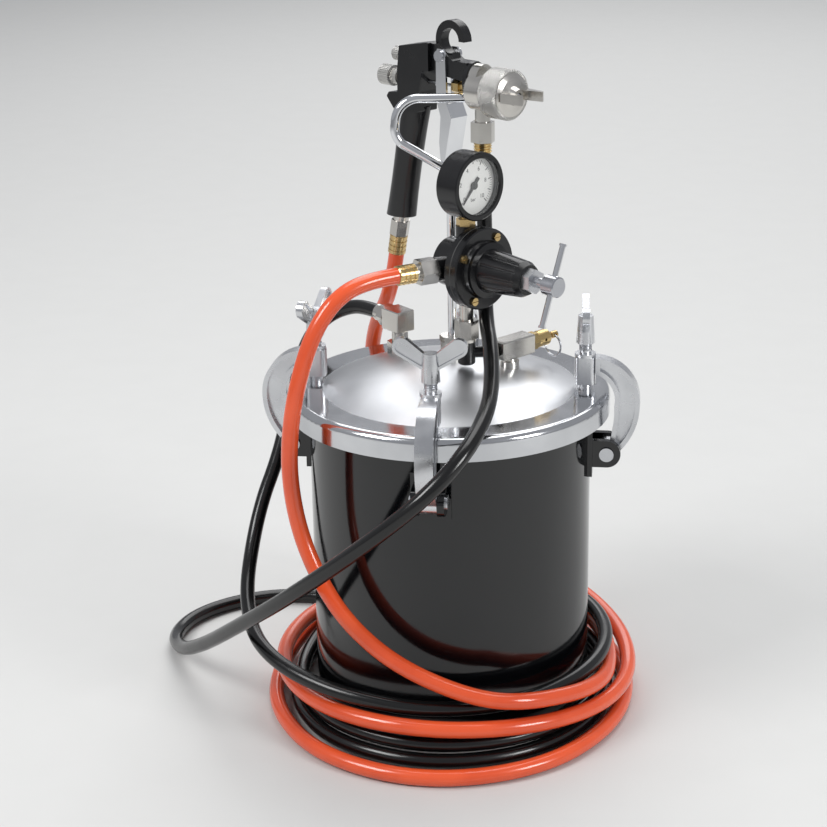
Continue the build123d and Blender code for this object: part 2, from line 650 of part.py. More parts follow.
def diaphragm():
    """Rubber diaphragm clamped between body and bonnet."""
    disc = bar((FLANGE_DISC_BACK + FLANGE_DISC_THICK, 0, 0), (1, 0, 0), FLANGE_DISC_RADIUS, DIAPHRAGM_THICK)
    disc = at_regulator(disc)
    for left, up in screw_circle():
        disc -= screw_hole(0.0, left, up)
    return disc


def regulator_bonnet():
    """Fluted bonnet with its bolting flange, hollow for its spring."""
    bonnet = turned((0, 0, 0), (1, 0, 0), [
        (BONNET_BACK, 0), (BONNET_BACK, FLANGE_DISC_RADIUS), (BONNET_FACE - 1, FLANGE_DISC_RADIUS),
        (BONNET_FACE, FLANGE_DISC_RADIUS - 1), (BONNET_FACE, 24.6), (BONNET_FACE + 3, 23.4),
        (BONNET_FACE + 6, 23.4), (BONNET_FACE + 7, BONNET_RADIUS), (BONNET_END - 5, BONNET_END_RADIUS + 0.6),
        (BONNET_END, BONNET_END_RADIUS - 2), (BONNET_END, 0)])
    for index in range(BONNET_FLUTES):
        side = heading(360.0 * index / BONNET_FLUTES)
        flute = Vector(BONNET_FACE + 10, side.X * (BONNET_RADIUS + 1.4), side.Y * (BONNET_RADIUS + 1.4))
        end = Vector(BONNET_END + 4, side.X * (BONNET_END_RADIUS + 1.6), side.Y * (BONNET_END_RADIUS + 1.6))
        bonnet -= bar(flute, end - flute, 2.2, (end - flute).length)
    bonnet -= turned((0, 0, 0), (1, 0, 0), [
        (BONNET_BACK, 0), (BONNET_BACK, 16.0), (BONNET_FACE + 8, BONNET_RADIUS - BONNET_WALL - 3),
        (BONNET_END - 8, BONNET_END_RADIUS - BONNET_WALL - 2), (BONNET_END - 8, 0)])
    bonnet -= bar((BONNET_END - 10, 0, 0), (1, 0, 0), REG_SCREW_RADIUS + RUNNING, THROUGH)
    bonnet = at_regulator(bonnet)
    for left, up in screw_circle():
        bonnet -= screw_hole(0.0, left, up)
    return bonnet


def bonnet_screws():
    """Slotted screws that hold the bonnet on the body."""
    along = heading(REGULATOR_AZIMUTH)
    screws = []
    for left, up in screw_circle():
        face = regulator_point(BONNET_FACE, left, up)
        screw = bar(face - along * 13.0, along, BONNET_SCREW_RADIUS - SEAT, 13.0) + bar(face, along, 3.4, 2.2)
        slot = Plane(origin=face + along * 2.2, x_dir=across(along), z_dir=along) * Rectangle(8, 0.9)
        screws.append(screw - extrude(slot, -0.9))
    return screws


def spring_button():
    """Button that the adjusting screw pushes against the spring."""
    return at_regulator(bar((BUTTON_BACK + 0.5, 0, 0), (1, 0, 0), BUTTON_RADIUS, BUTTON_THICK))


def adjusting_screw():
    """Adjusting screw with the drilled head that holds the cross bar."""
    start = BUTTON_BACK + 0.5 + BUTTON_THICK
    screw = bar((start, 0, 0), (1, 0, 0), REG_SCREW_RADIUS, REG_HEAD_BACK - start)
    screw += turned((REG_HEAD_BACK, 0, 0), (1, 0, 0), [
        (0, 0), (0, HEAD_RADIUS - 1), (1, HEAD_RADIUS), (HEAD_LENGTH - 1, HEAD_RADIUS),
        (HEAD_LENGTH, HEAD_RADIUS - 1), (HEAD_LENGTH, 0)])
    hole = tee_bar_direction()
    centre = Vector(REG_HEAD_BACK + HEAD_LENGTH / 2, 0, 0)
    screw -= bar(centre - hole * (THROUGH / 2), hole, TEE_BAR_RADIUS + RUNNING, THROUGH)
    return at_regulator(screw)


def tee_bar_direction():
    """Direction of the cross bar in the regulator's own frame."""
    tilt = math.radians(TEE_BAR_TILT)
    return Vector(0, math.sin(tilt), math.cos(tilt))


def tee_bar():
    """Sliding cross bar with a knob pressed on each end."""
    hole = tee_bar_direction()
    centre = Vector(REG_HEAD_BACK + HEAD_LENGTH / 2, 0, 0)
    start = centre - hole * (TEE_BAR_LENGTH / 2)
    cross = bar(start, hole, TEE_BAR_RADIUS, TEE_BAR_LENGTH)
    for side in (-1, 1):
        end = centre + hole * (side * TEE_BAR_LENGTH / 2)
        cross += bar(end, hole * side, TEE_KNOB_RADIUS, TEE_KNOB_LENGTH)
    return at_regulator(cross)


def lock_nut():
    """Lock nut on the adjusting screw, against the bonnet."""
    nut = hexagon((BONNET_END, 0, 0), (1, 0, 0), HOSE_NUT_FLATS, LOCK_NUT_THICK, REG_SCREW_RADIUS + RUNNING)
    return at_regulator(nut)


def port_point(distance):
    """A point on the regulator's outlet axis."""
    return Vector(*REGULATOR, REGULATOR_HEIGHT) + heading(PORT_AZIMUTH) * distance


def air_outlet_nut():
    """Nickel hose nut on the regulator's outlet."""
    port = heading(PORT_AZIMUTH)
    length = AIR_NUT_LENGTH - 3.0
    nut = hexagon(port_point(PORT_END), port, 20.0, length)
    return nut + bar(port_point(PORT_END + length), port, 7.0, 3.0)


def air_outlet_ferrule():
    """Crimped ferrule at the regulator end of the air hose."""
    start = port_point(PORT_END + AIR_NUT_LENGTH)
    return ferrule(start, heading(PORT_AZIMUTH), AIR_HOSE_DIAMETER / 2 + 1.3, AIR_FERRULE_LENGTH)


def ferrule(start, along, radius, length):
    """A crimped sleeve: plain ends and three shallow grooves."""
    profile = [(0, 0), (0, radius - 0.8), (0.8, radius)]
    for index in range(3):
        middle = length * (index + 1) / 4
        profile += [(middle - 1.0, radius), (middle - 0.6, radius - 0.7), (middle + 0.6, radius - 0.7),
                    (middle + 1.0, radius)]
    profile += [(length - 0.8, radius), (length, radius - 0.8), (length, 0)]
    return turned(start, along, profile)


# ---------------------------------------------------------------- gauge
def gauge_point(along):
    """A point on the gauge's axis."""
    return regulator_point(along) + Vector(0, 0, GAUGE_HEIGHT - REGULATOR_HEIGHT)


def gauge_stem():
    """Brass stem and hexagon between regulator and gauge."""
    bottom = REGULATOR_HEIGHT + BODY_RADIUS + NECK_ABOVE
    stem = hexagon((*REGULATOR, bottom), UP, GAUGE_STEM_FLATS, GAUGE_STEM_HEX)
    stem += bar((*REGULATOR, bottom + GAUGE_STEM_HEX), UP, GAUGE_STEM_RADIUS, 10.0)
    axis = heading(REGULATOR_AZIMUTH)
    return stem - bar(gauge_point(GAUGE_BACK - 10), axis, GAUGE_RADIUS, 2 * THROUGH)


def gauge_case():
    """Cup-shaped case with the front ring that holds the lens."""
    axis = heading(REGULATOR_AZIMUTH)
    depth = GAUGE_DEPTH - BEZEL_DEPTH
    outer = GAUGE_RADIUS + 0.6
    window = GAUGE_RADIUS - BEZEL_WIDTH
    case = turned(gauge_point(GAUGE_BACK), axis,
                  [(0, 0), (0, GAUGE_RADIUS - 2), (2, GAUGE_RADIUS), (depth, GAUGE_RADIUS), (depth, outer),
                   (GAUGE_DEPTH - 1, outer), (GAUGE_DEPTH, outer - 1), (GAUGE_DEPTH, window + 1),
                   (GAUGE_DEPTH - 1, window), (depth, window), (depth, GAUGE_RADIUS - GAUGE_WALL),
                   (GAUGE_WALL, GAUGE_RADIUS - GAUGE_WALL), (GAUGE_WALL, 0)])
    return case


def gauge_lens():
    """Flat window seated in the bezel."""
    axis = heading(REGULATOR_AZIMUTH)
    back = gauge_point(GAUGE_FRONT - BEZEL_DEPTH + FREE)
    return bar(back, axis, GAUGE_RADIUS - BEZEL_WIDTH - SEAT, LENS_THICK)


def gauge_dial():
    """Printed dial plate on the movement that fills the middle of the case."""
    axis = heading(REGULATOR_AZIMUTH)
    start = GAUGE_BACK + GAUGE_WALL
    back = GAUGE_FRONT - DIAL_SINK
    dial = bar(gauge_point(start), axis, MOVEMENT_RADIUS, back - start)
    dial += bar(gauge_point(back), axis, DIAL_RADIUS, DIAL_THICK)
    return dial - bar(gauge_point(start + SPINDLE_DEPTH), axis, SPINDLE_RADIUS + RUNNING, THROUGH)


def gauge_needle():
    """Pointer with its spindle and tail."""
    axis = heading(REGULATOR_AZIMUTH)
    face = GAUGE_FRONT - NEEDLE_SINK
    back = GAUGE_BACK + GAUGE_WALL + SPINDLE_DEPTH + 1.0
    spindle = bar(gauge_point(back), axis, SPINDLE_RADIUS, face - back)
    hub = bar(gauge_point(face), axis, 3.2, 1.6)
    down_left = (heading(REGULATOR_AZIMUTH + 90) * -0.66 + Vector(0, 0, -0.75)).normalized()
    plane = Plane(origin=gauge_point(face), x_dir=down_left, z_dir=axis)
    blade = extrude(plane * Polygon(*NEEDLE_BLADE, align=None), 0.8)
    return spindle + hub + blade


# ---------------------------------------------------------------- spray gun
def at_gun(shape):
    """Place a shape made in the gun's own directions."""
    return Pos(*GUN) * (Rot(0, 0, GUN_AZIMUTH) * shape)


def gun_point(x, y, z):
    """A point of the gun's frame in the object's frame."""
    out = heading(GUN_AZIMUTH) * x + heading(GUN_AZIMUTH + 90) * y
    return Vector(GUN[0] + out.X, GUN[1] + out.Y, GUN[2] + z)


def grip_station(share, swell=0.0):
    """An elliptical section of the grip, some share of the way down it."""
    x = GRIP_TOP[0] + (GRIP_BOTTOM[0] - GRIP_TOP[0]) * share
    z = GRIP_TOP[1] + (GRIP_BOTTOM[1] - GRIP_TOP[1]) * share
    return Pos(x, 0, z) * Ellipse(GRIP_HALF_DEPTH + swell, GRIP_HALF_WIDTH)


def gun_body():
    """Cast body: grip, rear block, bridge over the needle, front plate and hook."""
    grip = loft([grip_station(0.0, 1.5), grip_station(0.45, -1.0), grip_station(1.0, 0.5)])
    rear = make_face(Polyline(*GUN_BLOCK_OUTLINE, close=True))
    block = fillet(slab(rear, GUN_BLOCK_WIDTH).edges().filter_by(Axis.Y), 1.5)
    bridge = Polyline((-34, 34), (-26, 34), (-4, 22), (GUN_PLATE_FACE - GUN_PLATE, 22),
                      (GUN_PLATE_FACE - GUN_PLATE, 6), (-22, 9), (-34, 10), close=True)
    body = grip + block + slab(make_face(bridge), GUN_BRIDGE_WIDTH)
    plate = Plane(origin=(GUN_PLATE_FACE - GUN_PLATE, 0, 6.5), x_dir=(0, 1, 0), z_dir=(1, 0, 0))
    body += extrude(plate * Ellipse(12.5, 16.5), GUN_PLATE)
    loop = Pos(*GUN_HOOK_CENTRE) * (Circle(GUN_HOOK_RADIUS) - Circle(GUN_HOOK_BORE))
    mouth = Pos(*GUN_HOOK_CENTRE) * Polygon((0, 0), (30, 0), (30, -30), (8, -30), align=None)
    body += slab(loop - mouth, GUN_HOOK_WIDTH)
    body -= pivot_hole(SEAT)
    for side in (-1, 1):
        arm_room = Pos(TRIGGER_PIVOT[0], side * (GUN_BRIDGE_WIDTH / 2 + 10), 12) * Box(26, 20, 46)
        body -= arm_room
    body -= bar((-110, 0, 0), (1, 0, 0), NEEDLE_RADIUS + FREE, 140.0)
    body -= bar((-110, 0, 0), (1, 0, 0), FLUID_SLEEVE_RADIUS + RUNNING, 60.0)
    body -= bar((-110, 0, PATTERN_KNOB_HEIGHT), (1, 0, 0), PATTERN_SLEEVE_RADIUS + RUNNING, 45.0)
    return at_gun(body)


def gun_head():
    """Nickel head with the fluid passage and the threaded nose."""
    length = HEAD_FRONT - GUN_PLATE_FACE
    head = turned((GUN_PLATE_FACE, 0, 0), (1, 0, 0), [
        (0, 0), (0, 16.0), (2, 17.0), (length - 2, 16.0), (length, 15.0), (length, NOSE_RADIUS),
        (length + NOSE_LENGTH, NOSE_RADIUS), (length + NOSE_LENGTH, 0)])
    saddle = Plane(origin=(GUN_PLATE_FACE, 0, 7.0), x_dir=(0, 1, 0), z_dir=(1, 0, 0)) * Ellipse(11.5, 15.0)
    head += extrude(saddle, 10.0)
    head += bar((FLUID_INLET_X, 0, -12), (0, 0, -1), 6.5, -12 - FLUID_INLET_FOOT)
    head -= bar((GUN_PLATE_FACE - 1, 0, 0), (1, 0, 0), 4.0, 2 * THROUGH)
    return at_gun(head)


def packing_nut():
    """Packing gland that the needle slides through, behind the front plate."""
    neck_end = GUN_PLATE_FACE - GUN_PLATE
    nut = hexagon((-8, 0, 0), (1, 0, 0), 11.0, 8.0) + bar((0, 0, 0), (1, 0, 0), 4.0, neck_end)
    return at_gun(nut - bar((-10, 0, 0), (1, 0, 0), NEEDLE_RADIUS + RUNNING, THROUGH))


def fluid_tip():
    """Fluid nozzle in the middle of the head."""
    start = HEAD_FRONT + NOSE_LENGTH
    profile = [(0, 0), (0, 8.0), (6, 8.0), (8, 4.5), (15, TIP_RADIUS), (15, 0)]
    tip = turned((start, 0, 0), (1, 0, 0), profile)
    return at_gun(tip - bar((start - 1, 0, 0), (1, 0, 0), NEEDLE_RADIUS + RUNNING, THROUGH))


def air_cap():
    """Air cap with its flat face, nose and two horns."""
    cap = turned((CAP_BACK, 0, 0), (1, 0, 0), [
        (0, 9.0), (0, AIR_CAP_RADIUS), (5, AIR_CAP_RADIUS), (7, AIR_CAP_RADIUS - 4), (8, 8.0), (13, 5.5),
        (13, TIP_RADIUS + FREE), (5, 8.4), (4, 9.0)])
    for side in (-1, 1):
        corners = [(CAP_BACK + out, side * reach) for out, reach in CAP_HORN]
        cap += extrude(make_face(Polyline(*corners, close=True)), CAP_HORN_WIDTH / 2, both=True)
    return at_gun(cap)


def cap_ring():
    """Knurled retaining ring over the air cap."""
    seat = CAP_RING_LENGTH - CAP_OVERLAP
    profile = [(0, NOSE_RADIUS + RUNNING), (0, CAP_RING_RADIUS - 1), (1, CAP_RING_RADIUS),
               (CAP_RING_LENGTH - 1.5, CAP_RING_RADIUS), (CAP_RING_LENGTH, CAP_RING_RADIUS - 1.5),
               (CAP_RING_LENGTH, AIR_CAP_RADIUS + RUNNING), (seat, AIR_CAP_RADIUS + RUNNING),
               (seat, NOSE_RADIUS + RUNNING)]
    return at_gun(turned((HEAD_FRONT, 0, 0), (1, 0, 0), profile))


def fluid_needle():
    """Needle from its rear collar to the fluid tip."""
    needle = bar((NEEDLE_BACK, 0, 0), (1, 0, 0), NEEDLE_RADIUS, NEEDLE_LENGTH)
    return at_gun(needle + bar((-28, 0, 0), (1, 0, 0), 4.5, 5.0))


def trigger():
    """Channel-section trigger hung from its pivot screw."""
    px, pz = TRIGGER_PIVOT
    top = [(px + out, pz + up) for out, up in TRIGGER_TOP]
    lever = [(px + out, z) for out, z in TRIGGER_LEVER]
    face = make_face(Polyline(*top, *lever, close=True))
    solid = slab(face, TRIGGER_WIDTH)
    inside = TRIGGER_WIDTH - 2 * TRIGGER_WALL
    solid -= slab(Pos(-2.4, 0) * face, inside)
    solid -= Pos(px, 0, pz - 10) * Box(40, inside, 60)
    return at_gun(solid - pivot_hole(RUNNING))


def pivot_hole(clearance):
    """A cut for the trigger's pivot, with a radial clearance."""
    px, pz = TRIGGER_PIVOT
    return bar((px, -THROUGH / 2, pz), (0, 1, 0), PIVOT_RADIUS + clearance, THROUGH)


def trigger_pivot():
    """Headed screw that the trigger swings on."""
    px, pz = TRIGGER_PIVOT
    half = TRIGGER_WIDTH / 2 + SIDE
    pin = bar((px, -half, pz), (0, 1, 0), PIVOT_RADIUS, 2 * half)
    for side in (-1, 1):
        pin += bar((px, side * half, pz), (0, side, 0), PIVOT_HEAD_RADIUS, PIVOT_HEAD_THICK)
    return at_gun(pin)


def fluid_knob():
    """Knurled knob behind the fluid needle."""
    profile = [(0, 0), (0, 8.0), (1, 9.0), (14, 9.0), (15, 7.0), (22, 7.0), (22, FLUID_SLEEVE_RADIUS),
               (40, FLUID_SLEEVE_RADIUS), (40, 0)]
    knob = turned((FLUID_KNOB_BACK, 0, 0), (1, 0, 0), profile)
    return at_gun(knob - bar((FLUID_KNOB_BACK + 1, 0, 0), (1, 0, 0), NEEDLE_RADIUS + FREE, THROUGH))


def pattern_knob():
    """Smaller knob for the spray pattern."""
    profile = [(0, 0), (0, 5.5), (1, 6.2), (9, 6.2), (10, PATTERN_SLEEVE_RADIUS),
               (16, PATTERN_SLEEVE_RADIUS), (16, 0)]
    return at_gun(turned((PATTERN_KNOB_BACK, 0, PATTERN_KNOB_HEIGHT), (1, 0, 0), profile))


def grip_direction():
    """Direction down the grip's axis in the gun's frame."""
    return Vector(GRIP_BOTTOM[0] - GRIP_TOP[0], 0, GRIP_BOTTOM[1] - GRIP_TOP[1]).normalized()


def gun_air_nut():
    """Nickel inlet nut at the foot of the grip."""
    down = grip_direction()
    start = Vector(GRIP_BOTTOM[0], 0, GRIP_BOTTOM[1])
    nut = bar(start, down, 7.0, 6.0) + hexagon(start + down * 5.0, down, 15.0, GRIP_NUT_LENGTH - 5.0)
    cut = Pos(GRIP_BOTTOM[0], 0, GRIP_BOTTOM[1] + 10) * Box(60, 60, 20)
    return at_gun(nut - cut)


def gun_air_ferrule():
    """Crimped ferrule at the gun end of the air hose."""
    down = grip_direction()
    start = Vector(GRIP_BOTTOM[0], 0, GRIP_BOTTOM[1]) + down * GRIP_NUT_LENGTH
    return at_gun(ferrule(start, down, AIR_HOSE_DIAMETER / 2 + 1.0, GRIP_FERRULE_LENGTH))


def gun_fluid_nut():
    """Hexagon swivel nut on the gun's fluid inlet."""
    return at_gun(hexagon((FLUID_INLET_X, 0, FLUID_INLET_FOOT), (0, 0, -1), HOSE_NUT_FLATS, FLUID_NUT_LENGTH))


def gun_fluid_ferrule():
    """Crimped ferrule at the gun end of the fluid hose."""
    start = (FLUID_INLET_X, 0, FLUID_INLET_FOOT - FLUID_NUT_LENGTH)
    return at_gun(ferrule(start, (0, 0, -1), FLUID_HOSE_DIAMETER / 2 + 1.2, FLUID_FERRULE_LENGTH))


def hose_ferrules():
    """The crimped ferrules at three of the hoses' ends."""
    return [air_outlet_ferrule(), gun_air_ferrule(), gun_fluid_ferrule()]


# ---------------------------------------------------------------- hoses
def coil(stations, spacing=30.0):
    """Points of loose turns through (azimuth, radius, height) stations."""
    points = []
    spread = 1 / math.cos(math.radians(spacing / 2))
    for (a0, r0, z0), (a1, r1, z1) in zip(stations, stations[1:]):
        steps = round((a1 - a0) / spacing)
        for step in range(steps):
            share = step / steps
            ease = (1 - math.cos(math.pi * share)) / 2
            out = heading(a0 + (a1 - a0) * share) * ((r0 + (r1 - r0) * ease) * spread)
            points.append((out.X, out.Y, z0 + (z1 - z0) * ease))
    last, radius, height = stations[-1]
    out = heading(last) * (radius * spread)
    return points + [(out.X, out.Y, height)]


AIR_HOSE_DOWN = [(-80, -90, 389), (-97, -101, 364), (-109, -106, 329), (-118, -108, 288), (-122, -105, 240),
                 (-116, -103, 190), (-98, -113, 149), (-69, -131, 115), (-24, -148, 87), (38, -157, 67)]
AIR_HOSE_TURNS = [(-60, 162, 60), (-30, 156, 46), (0, 139, 37), (90, 152, 36), (180, 150, 36),
                  (270, 167, 43), (360, 158, 25), (450, 175, 50), (540, 156, 8), (630, 187, 7.2),
                  (720, 156, 7.1), (780, 158, 7.3)]
AIR_HOSE_UP = [(30, 164, 8), (-32, 186, 14), (-80, 196, 62), (-98, 184, 135), (-99, 165, 200),
               (-95, 150, 253), (-86, 130, 302)]
FLUID_HOSE_DOWN = [(-104, 94, 327), (-123, 98, 318), (-139, 96, 302), (-149, 88, 279), (-156, 73, 250),
                   (-160, 58, 218), (-167, 45, 190), (-177, 32, 162), (-183, 12, 130), (-182, -30, 97),
                   (-167, -75, 77), (-141, -106, 67), (-104, -131, 61), (-62, -146, 56)]
FLUID_HOSE_TURNS = [(-90, 148, 51), (0, 138, 54), (90, 137, 54), (180, 133, 22), (270, 160, 24),
                    (360, 138, 21), (450, 137, 21), (480, 137, 20.5), (540, 137, 8), (630, 167, 12),
                    (720, 138, 7), (810, 136, 7.2), (840, 140, 7)]
FLUID_HOSE_UP = [(-118, 148, 7), (-172, 160, 7.2), (-226, 143, 7), (-266, 102, 7.1), (-276, 52, 7.3),
                 (-254, 4, 17), (-218, -48, 50), (-174, -104, 96), (-121, -160, 148), (-60, -203, 206),
                 (2, -220, 262), (36, -196, 295), (49, -149, 314), (48, -101, 324), (42, -56, 341),
                 (36, -26, 347), (32, -4, 359), (30, 11, 380), (29, 21, 410), (28, 24, 445)]


def air_hose_points():
    """Route of the air hose from the regulator to the gun's grip."""
    down = grip_direction()
    mouth = Vector(GRIP_BOTTOM[0], 0, GRIP_BOTTOM[1]) + down * (GRIP_NUT_LENGTH + GRIP_FERRULE_LENGTH)
    ends = [gun_point(point.X, point.Y, point.Z) for point in (mouth + down * 38.0, mouth)]
    start = [port_point(AIR_HOSE_START), port_point(AIR_HOSE_START + 28.0)]
    return [tuple(point) for point in start] + AIR_HOSE_DOWN + coil(AIR_HOSE_TURNS) + AIR_HOSE_UP + \
        [tuple(point) for point in ends]


def fluid_hose_points():
    """Route of the fluid hose from the outlet elbow to the gun's fluid inlet."""
    start = [outlet_hose_start(), outlet_hose_start() + heading(ELBOW_AZIMUTH) * 23.0]
    end = gun_point(FLUID_INLET_X, 0, FLUID_INLET_FOOT - FLUID_NUT_LENGTH - FLUID_FERRULE_LENGTH)
    return [tuple(point) for point in start] + FLUID_HOSE_DOWN + coil(FLUID_HOSE_TURNS) + \
        FLUID_HOSE_UP + [tuple(end)]


def hose_radii(points):
    """The largest radius that the two runs at each corner allow."""
    radii = []
    for before, corner, after in zip(points, points[1:], points[2:]):
        into, out = Vector(*corner) - Vector(*before), Vector(*after) - Vector(*corner)
        half = math.radians(into.get_angle(out)) / 2
        radii.append(0.45 * min(into.length, out.length) / math.tan(half))
    return radii


def hose_path(points):
    """Straight runs joined by tangent arcs."""
    return FilletPolyline(*points, radius=hose_radii(points))


def hose(name, points, diameter):
    """A plain hose along its route, with its radii and length printed."""
    path = hose_path(points)
    tube = sweep(Plane(origin=path @ 0, z_dir=path % 0) * Circle(diameter / 2), path=path)
    radii = hose_radii(points)
    section = math.pi * diameter ** 2 / 4
    print(f"{name}: length {path.length:.0f}, least radius {min(radii):.0f}, "
          f"volume over section {tube.volume / section:.0f}")
    print("  radii", " ".join(f"{radius:.0f}" for radius in radii))
    return tube


# ---------------------------------------------------------------- all nodes
NODES = {
    "tank_shell": tank_shell, "lid": lid, "lid_gasket": lid_gasket, "clamp_brackets": clamp_brackets,
    "clamp_pins": clamp_pins, "hanger_stud": hanger_stud, "hanger_rod": hanger_rod,
    "outlet_boss": outlet_boss, "outlet_elbow": outlet_elbow, "outlet_nut": outlet_nut, "dip_tube": dip_tube,
    "inlet_foot": inlet_foot, "inlet_block": inlet_block, "inlet_tee": inlet_tee, "safety_body": safety_body,
    "safety_stem": safety_stem, "safety_ring": safety_ring, "union_nut": union_nut,
    "regulator_body": regulator_body, "diaphragm": diaphragm, "regulator_bonnet": regulator_bonnet,
    "bonnet_screws": bonnet_screws, "spring_button": spring_button, "adjusting_screw": adjusting_screw,
    "tee_bar": tee_bar, "lock_nut": lock_nut, "air_outlet_nut": air_outlet_nut, "gauge_stem": gauge_stem,
    "gauge_case": gauge_case, "gauge_lens": gauge_lens, "gauge_dial": gauge_dial,
    "gauge_needle": gauge_needle, "gun_body": gun_body, "gun_head": gun_head, "packing_nut": packing_nut,
    "fluid_tip": fluid_tip, "air_cap": air_cap, "cap_ring": cap_ring, "fluid_needle": fluid_needle,
    "trigger": trigger, "trigger_pivot": trigger_pivot, "fluid_knob": fluid_knob,
    "pattern_knob": pattern_knob, "gun_air_nut": gun_air_nut, "gun_fluid_nut": gun_fluid_nut,
    "hose_ferrules": hose_ferrules,
}


def main():
    """Build every node and write one STEP file each."""
    os.makedirs("parts", exist_ok=True)
    made = {name: build() for name, build in NODES.items()}
    for side, azimuth in CLAMP_AZIMUTHS.items():
        made[f"clamp_arm_{side}"] = clamp_arm(azimuth)
        made[f"clamp_pad_{side}"] = clamp_pad(azimuth)
        made[f"clamp_screw_{side}"] = clamp_screw(azimuth, WING_TURNS[side])
    made["air_hose"] = hose("air_hose", air_hose_points(), AIR_HOSE_DIAMETER)
    made["fluid_hose"] = hose("fluid_hose", fluid_hose_points(), FLUID_HOSE_DIAMETER)
    print(len(made), "nodes")
    for name, shape in made.items():
        if isinstance(shape, list):
            shape = Compound(children=[solid for item in shape for solid in item.solids()])
        export_step(shape, f"parts/{name}.step")


main()
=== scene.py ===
"""Looks for a pressure-feed paint tank with its regulator, gauge, spray gun and two hoses."""
import json
import logging
import math
from dataclasses import dataclass
from enum import Enum

import bpy
from mathutils import Matrix, Vector


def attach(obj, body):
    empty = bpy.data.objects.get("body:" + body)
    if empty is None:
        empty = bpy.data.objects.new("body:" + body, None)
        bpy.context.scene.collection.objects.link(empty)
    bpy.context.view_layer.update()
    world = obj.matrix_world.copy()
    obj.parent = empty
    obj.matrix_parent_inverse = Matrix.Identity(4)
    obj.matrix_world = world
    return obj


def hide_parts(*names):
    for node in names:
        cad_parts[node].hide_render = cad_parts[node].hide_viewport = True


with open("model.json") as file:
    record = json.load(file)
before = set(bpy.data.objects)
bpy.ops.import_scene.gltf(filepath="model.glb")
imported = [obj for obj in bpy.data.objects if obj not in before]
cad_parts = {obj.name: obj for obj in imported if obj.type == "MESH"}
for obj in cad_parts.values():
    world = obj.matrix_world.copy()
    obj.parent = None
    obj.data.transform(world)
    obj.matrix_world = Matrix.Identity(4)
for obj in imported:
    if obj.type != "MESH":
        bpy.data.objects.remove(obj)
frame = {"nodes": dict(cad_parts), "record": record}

logging.basicConfig(level=logging.INFO, format="%(message)s")
log = logging.getLogger("pressure_tank")

MM = 0.001
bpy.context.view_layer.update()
UP = Vector((0.0, 0.0, 1.0))
Point = tuple[float, float, float]
Station = tuple[float, float, float]
Tree = bpy.types.NodeTree
Socket = bpy.types.NodeSocket


# ---------------------------------------------------------------- common geometry
def heading(azimuth: float) -> Vector:
    """A level unit vector at an azimuth in degrees from +X."""
    turn = math.radians(azimuth)
    return Vector((math.cos(turn), math.sin(turn), 0.0))


def upright(origin: Vector, along: Vector) -> Matrix:
    """Place a piece modelled along +Z so that it points along a direction.

    Args:
        origin: Where the piece's own origin goes, in metres.
        along: The direction that its +Z takes.

    Returns:
        The matrix that moves the piece there, with its +Y as near to up as it can be.
    """
    forward = along.normalized()
    guide = UP if abs(forward.z) < 0.9 else Vector((0.0, 1.0, 0.0))
    side = guide.cross(forward).normalized()
    rise = forward.cross(side)
    return Matrix.Translation(origin) @ Matrix((side, rise, forward)).transposed().to_4x4()


def settle(piece: bpy.types.Object, place: Matrix | None = None) -> bpy.types.Object:
    """Move a piece's place into its mesh, so that its object sits at the origin.

    Args:
        piece: The mesh object.
        place: An extra move that comes after the object's own.

    Returns:
        The same object.
    """
    bpy.context.view_layer.update()
    piece.data.transform((place or Matrix.Identity(4)) @ piece.matrix_world)
    piece.matrix_world = Matrix.Identity(4)
    return piece


def clear_selection() -> None:
    """Deselect everything, the CAD nodes included."""
    bpy.ops.object.select_all(action="DESELECT")


def pick(piece: bpy.types.Object) -> None:
    """Make one object the only selected one and the active one.

    Args:
        piece: The object.
    """
    clear_selection()
    piece.select_set(True)
    bpy.context.view_layer.objects.active = piece


def join(pieces: list[bpy.types.Object], name: str) -> bpy.types.Object:
    """Join several meshes into one named piece.

    Args:
        pieces: The meshes, of which the first is kept.
        name: The joined piece's name.

    Returns:
        The joined object.
    """
    clear_selection()
    for piece in pieces:
        piece.select_set(True)
    bpy.context.view_layer.objects.active = pieces[0]
    bpy.ops.object.join()
    pieces[0].name = name
    pieces[0].data.name = name
    return pieces[0]


# ---------------------------------------------------------------- finishes
class Lay(Enum):
    """How the fine marks of a metal finish run."""

    PLAIN = "plain"
    CAST = "cast"
    TURNED = "turned"
    DRAWN = "drawn"


COAT_ROUGHNESS = 0.06
PATCH_SCALE, PATCH_DETAIL = 18.0, 4.0
PATCH_LOW, PATCH_HIGH = 0.35, 0.62
SMEAR_RANGE = (0.3, 0.7)
DRAWN_STRETCH = (1.0, 1.0, 0.03)
KNURL_RELIEF = 0.6


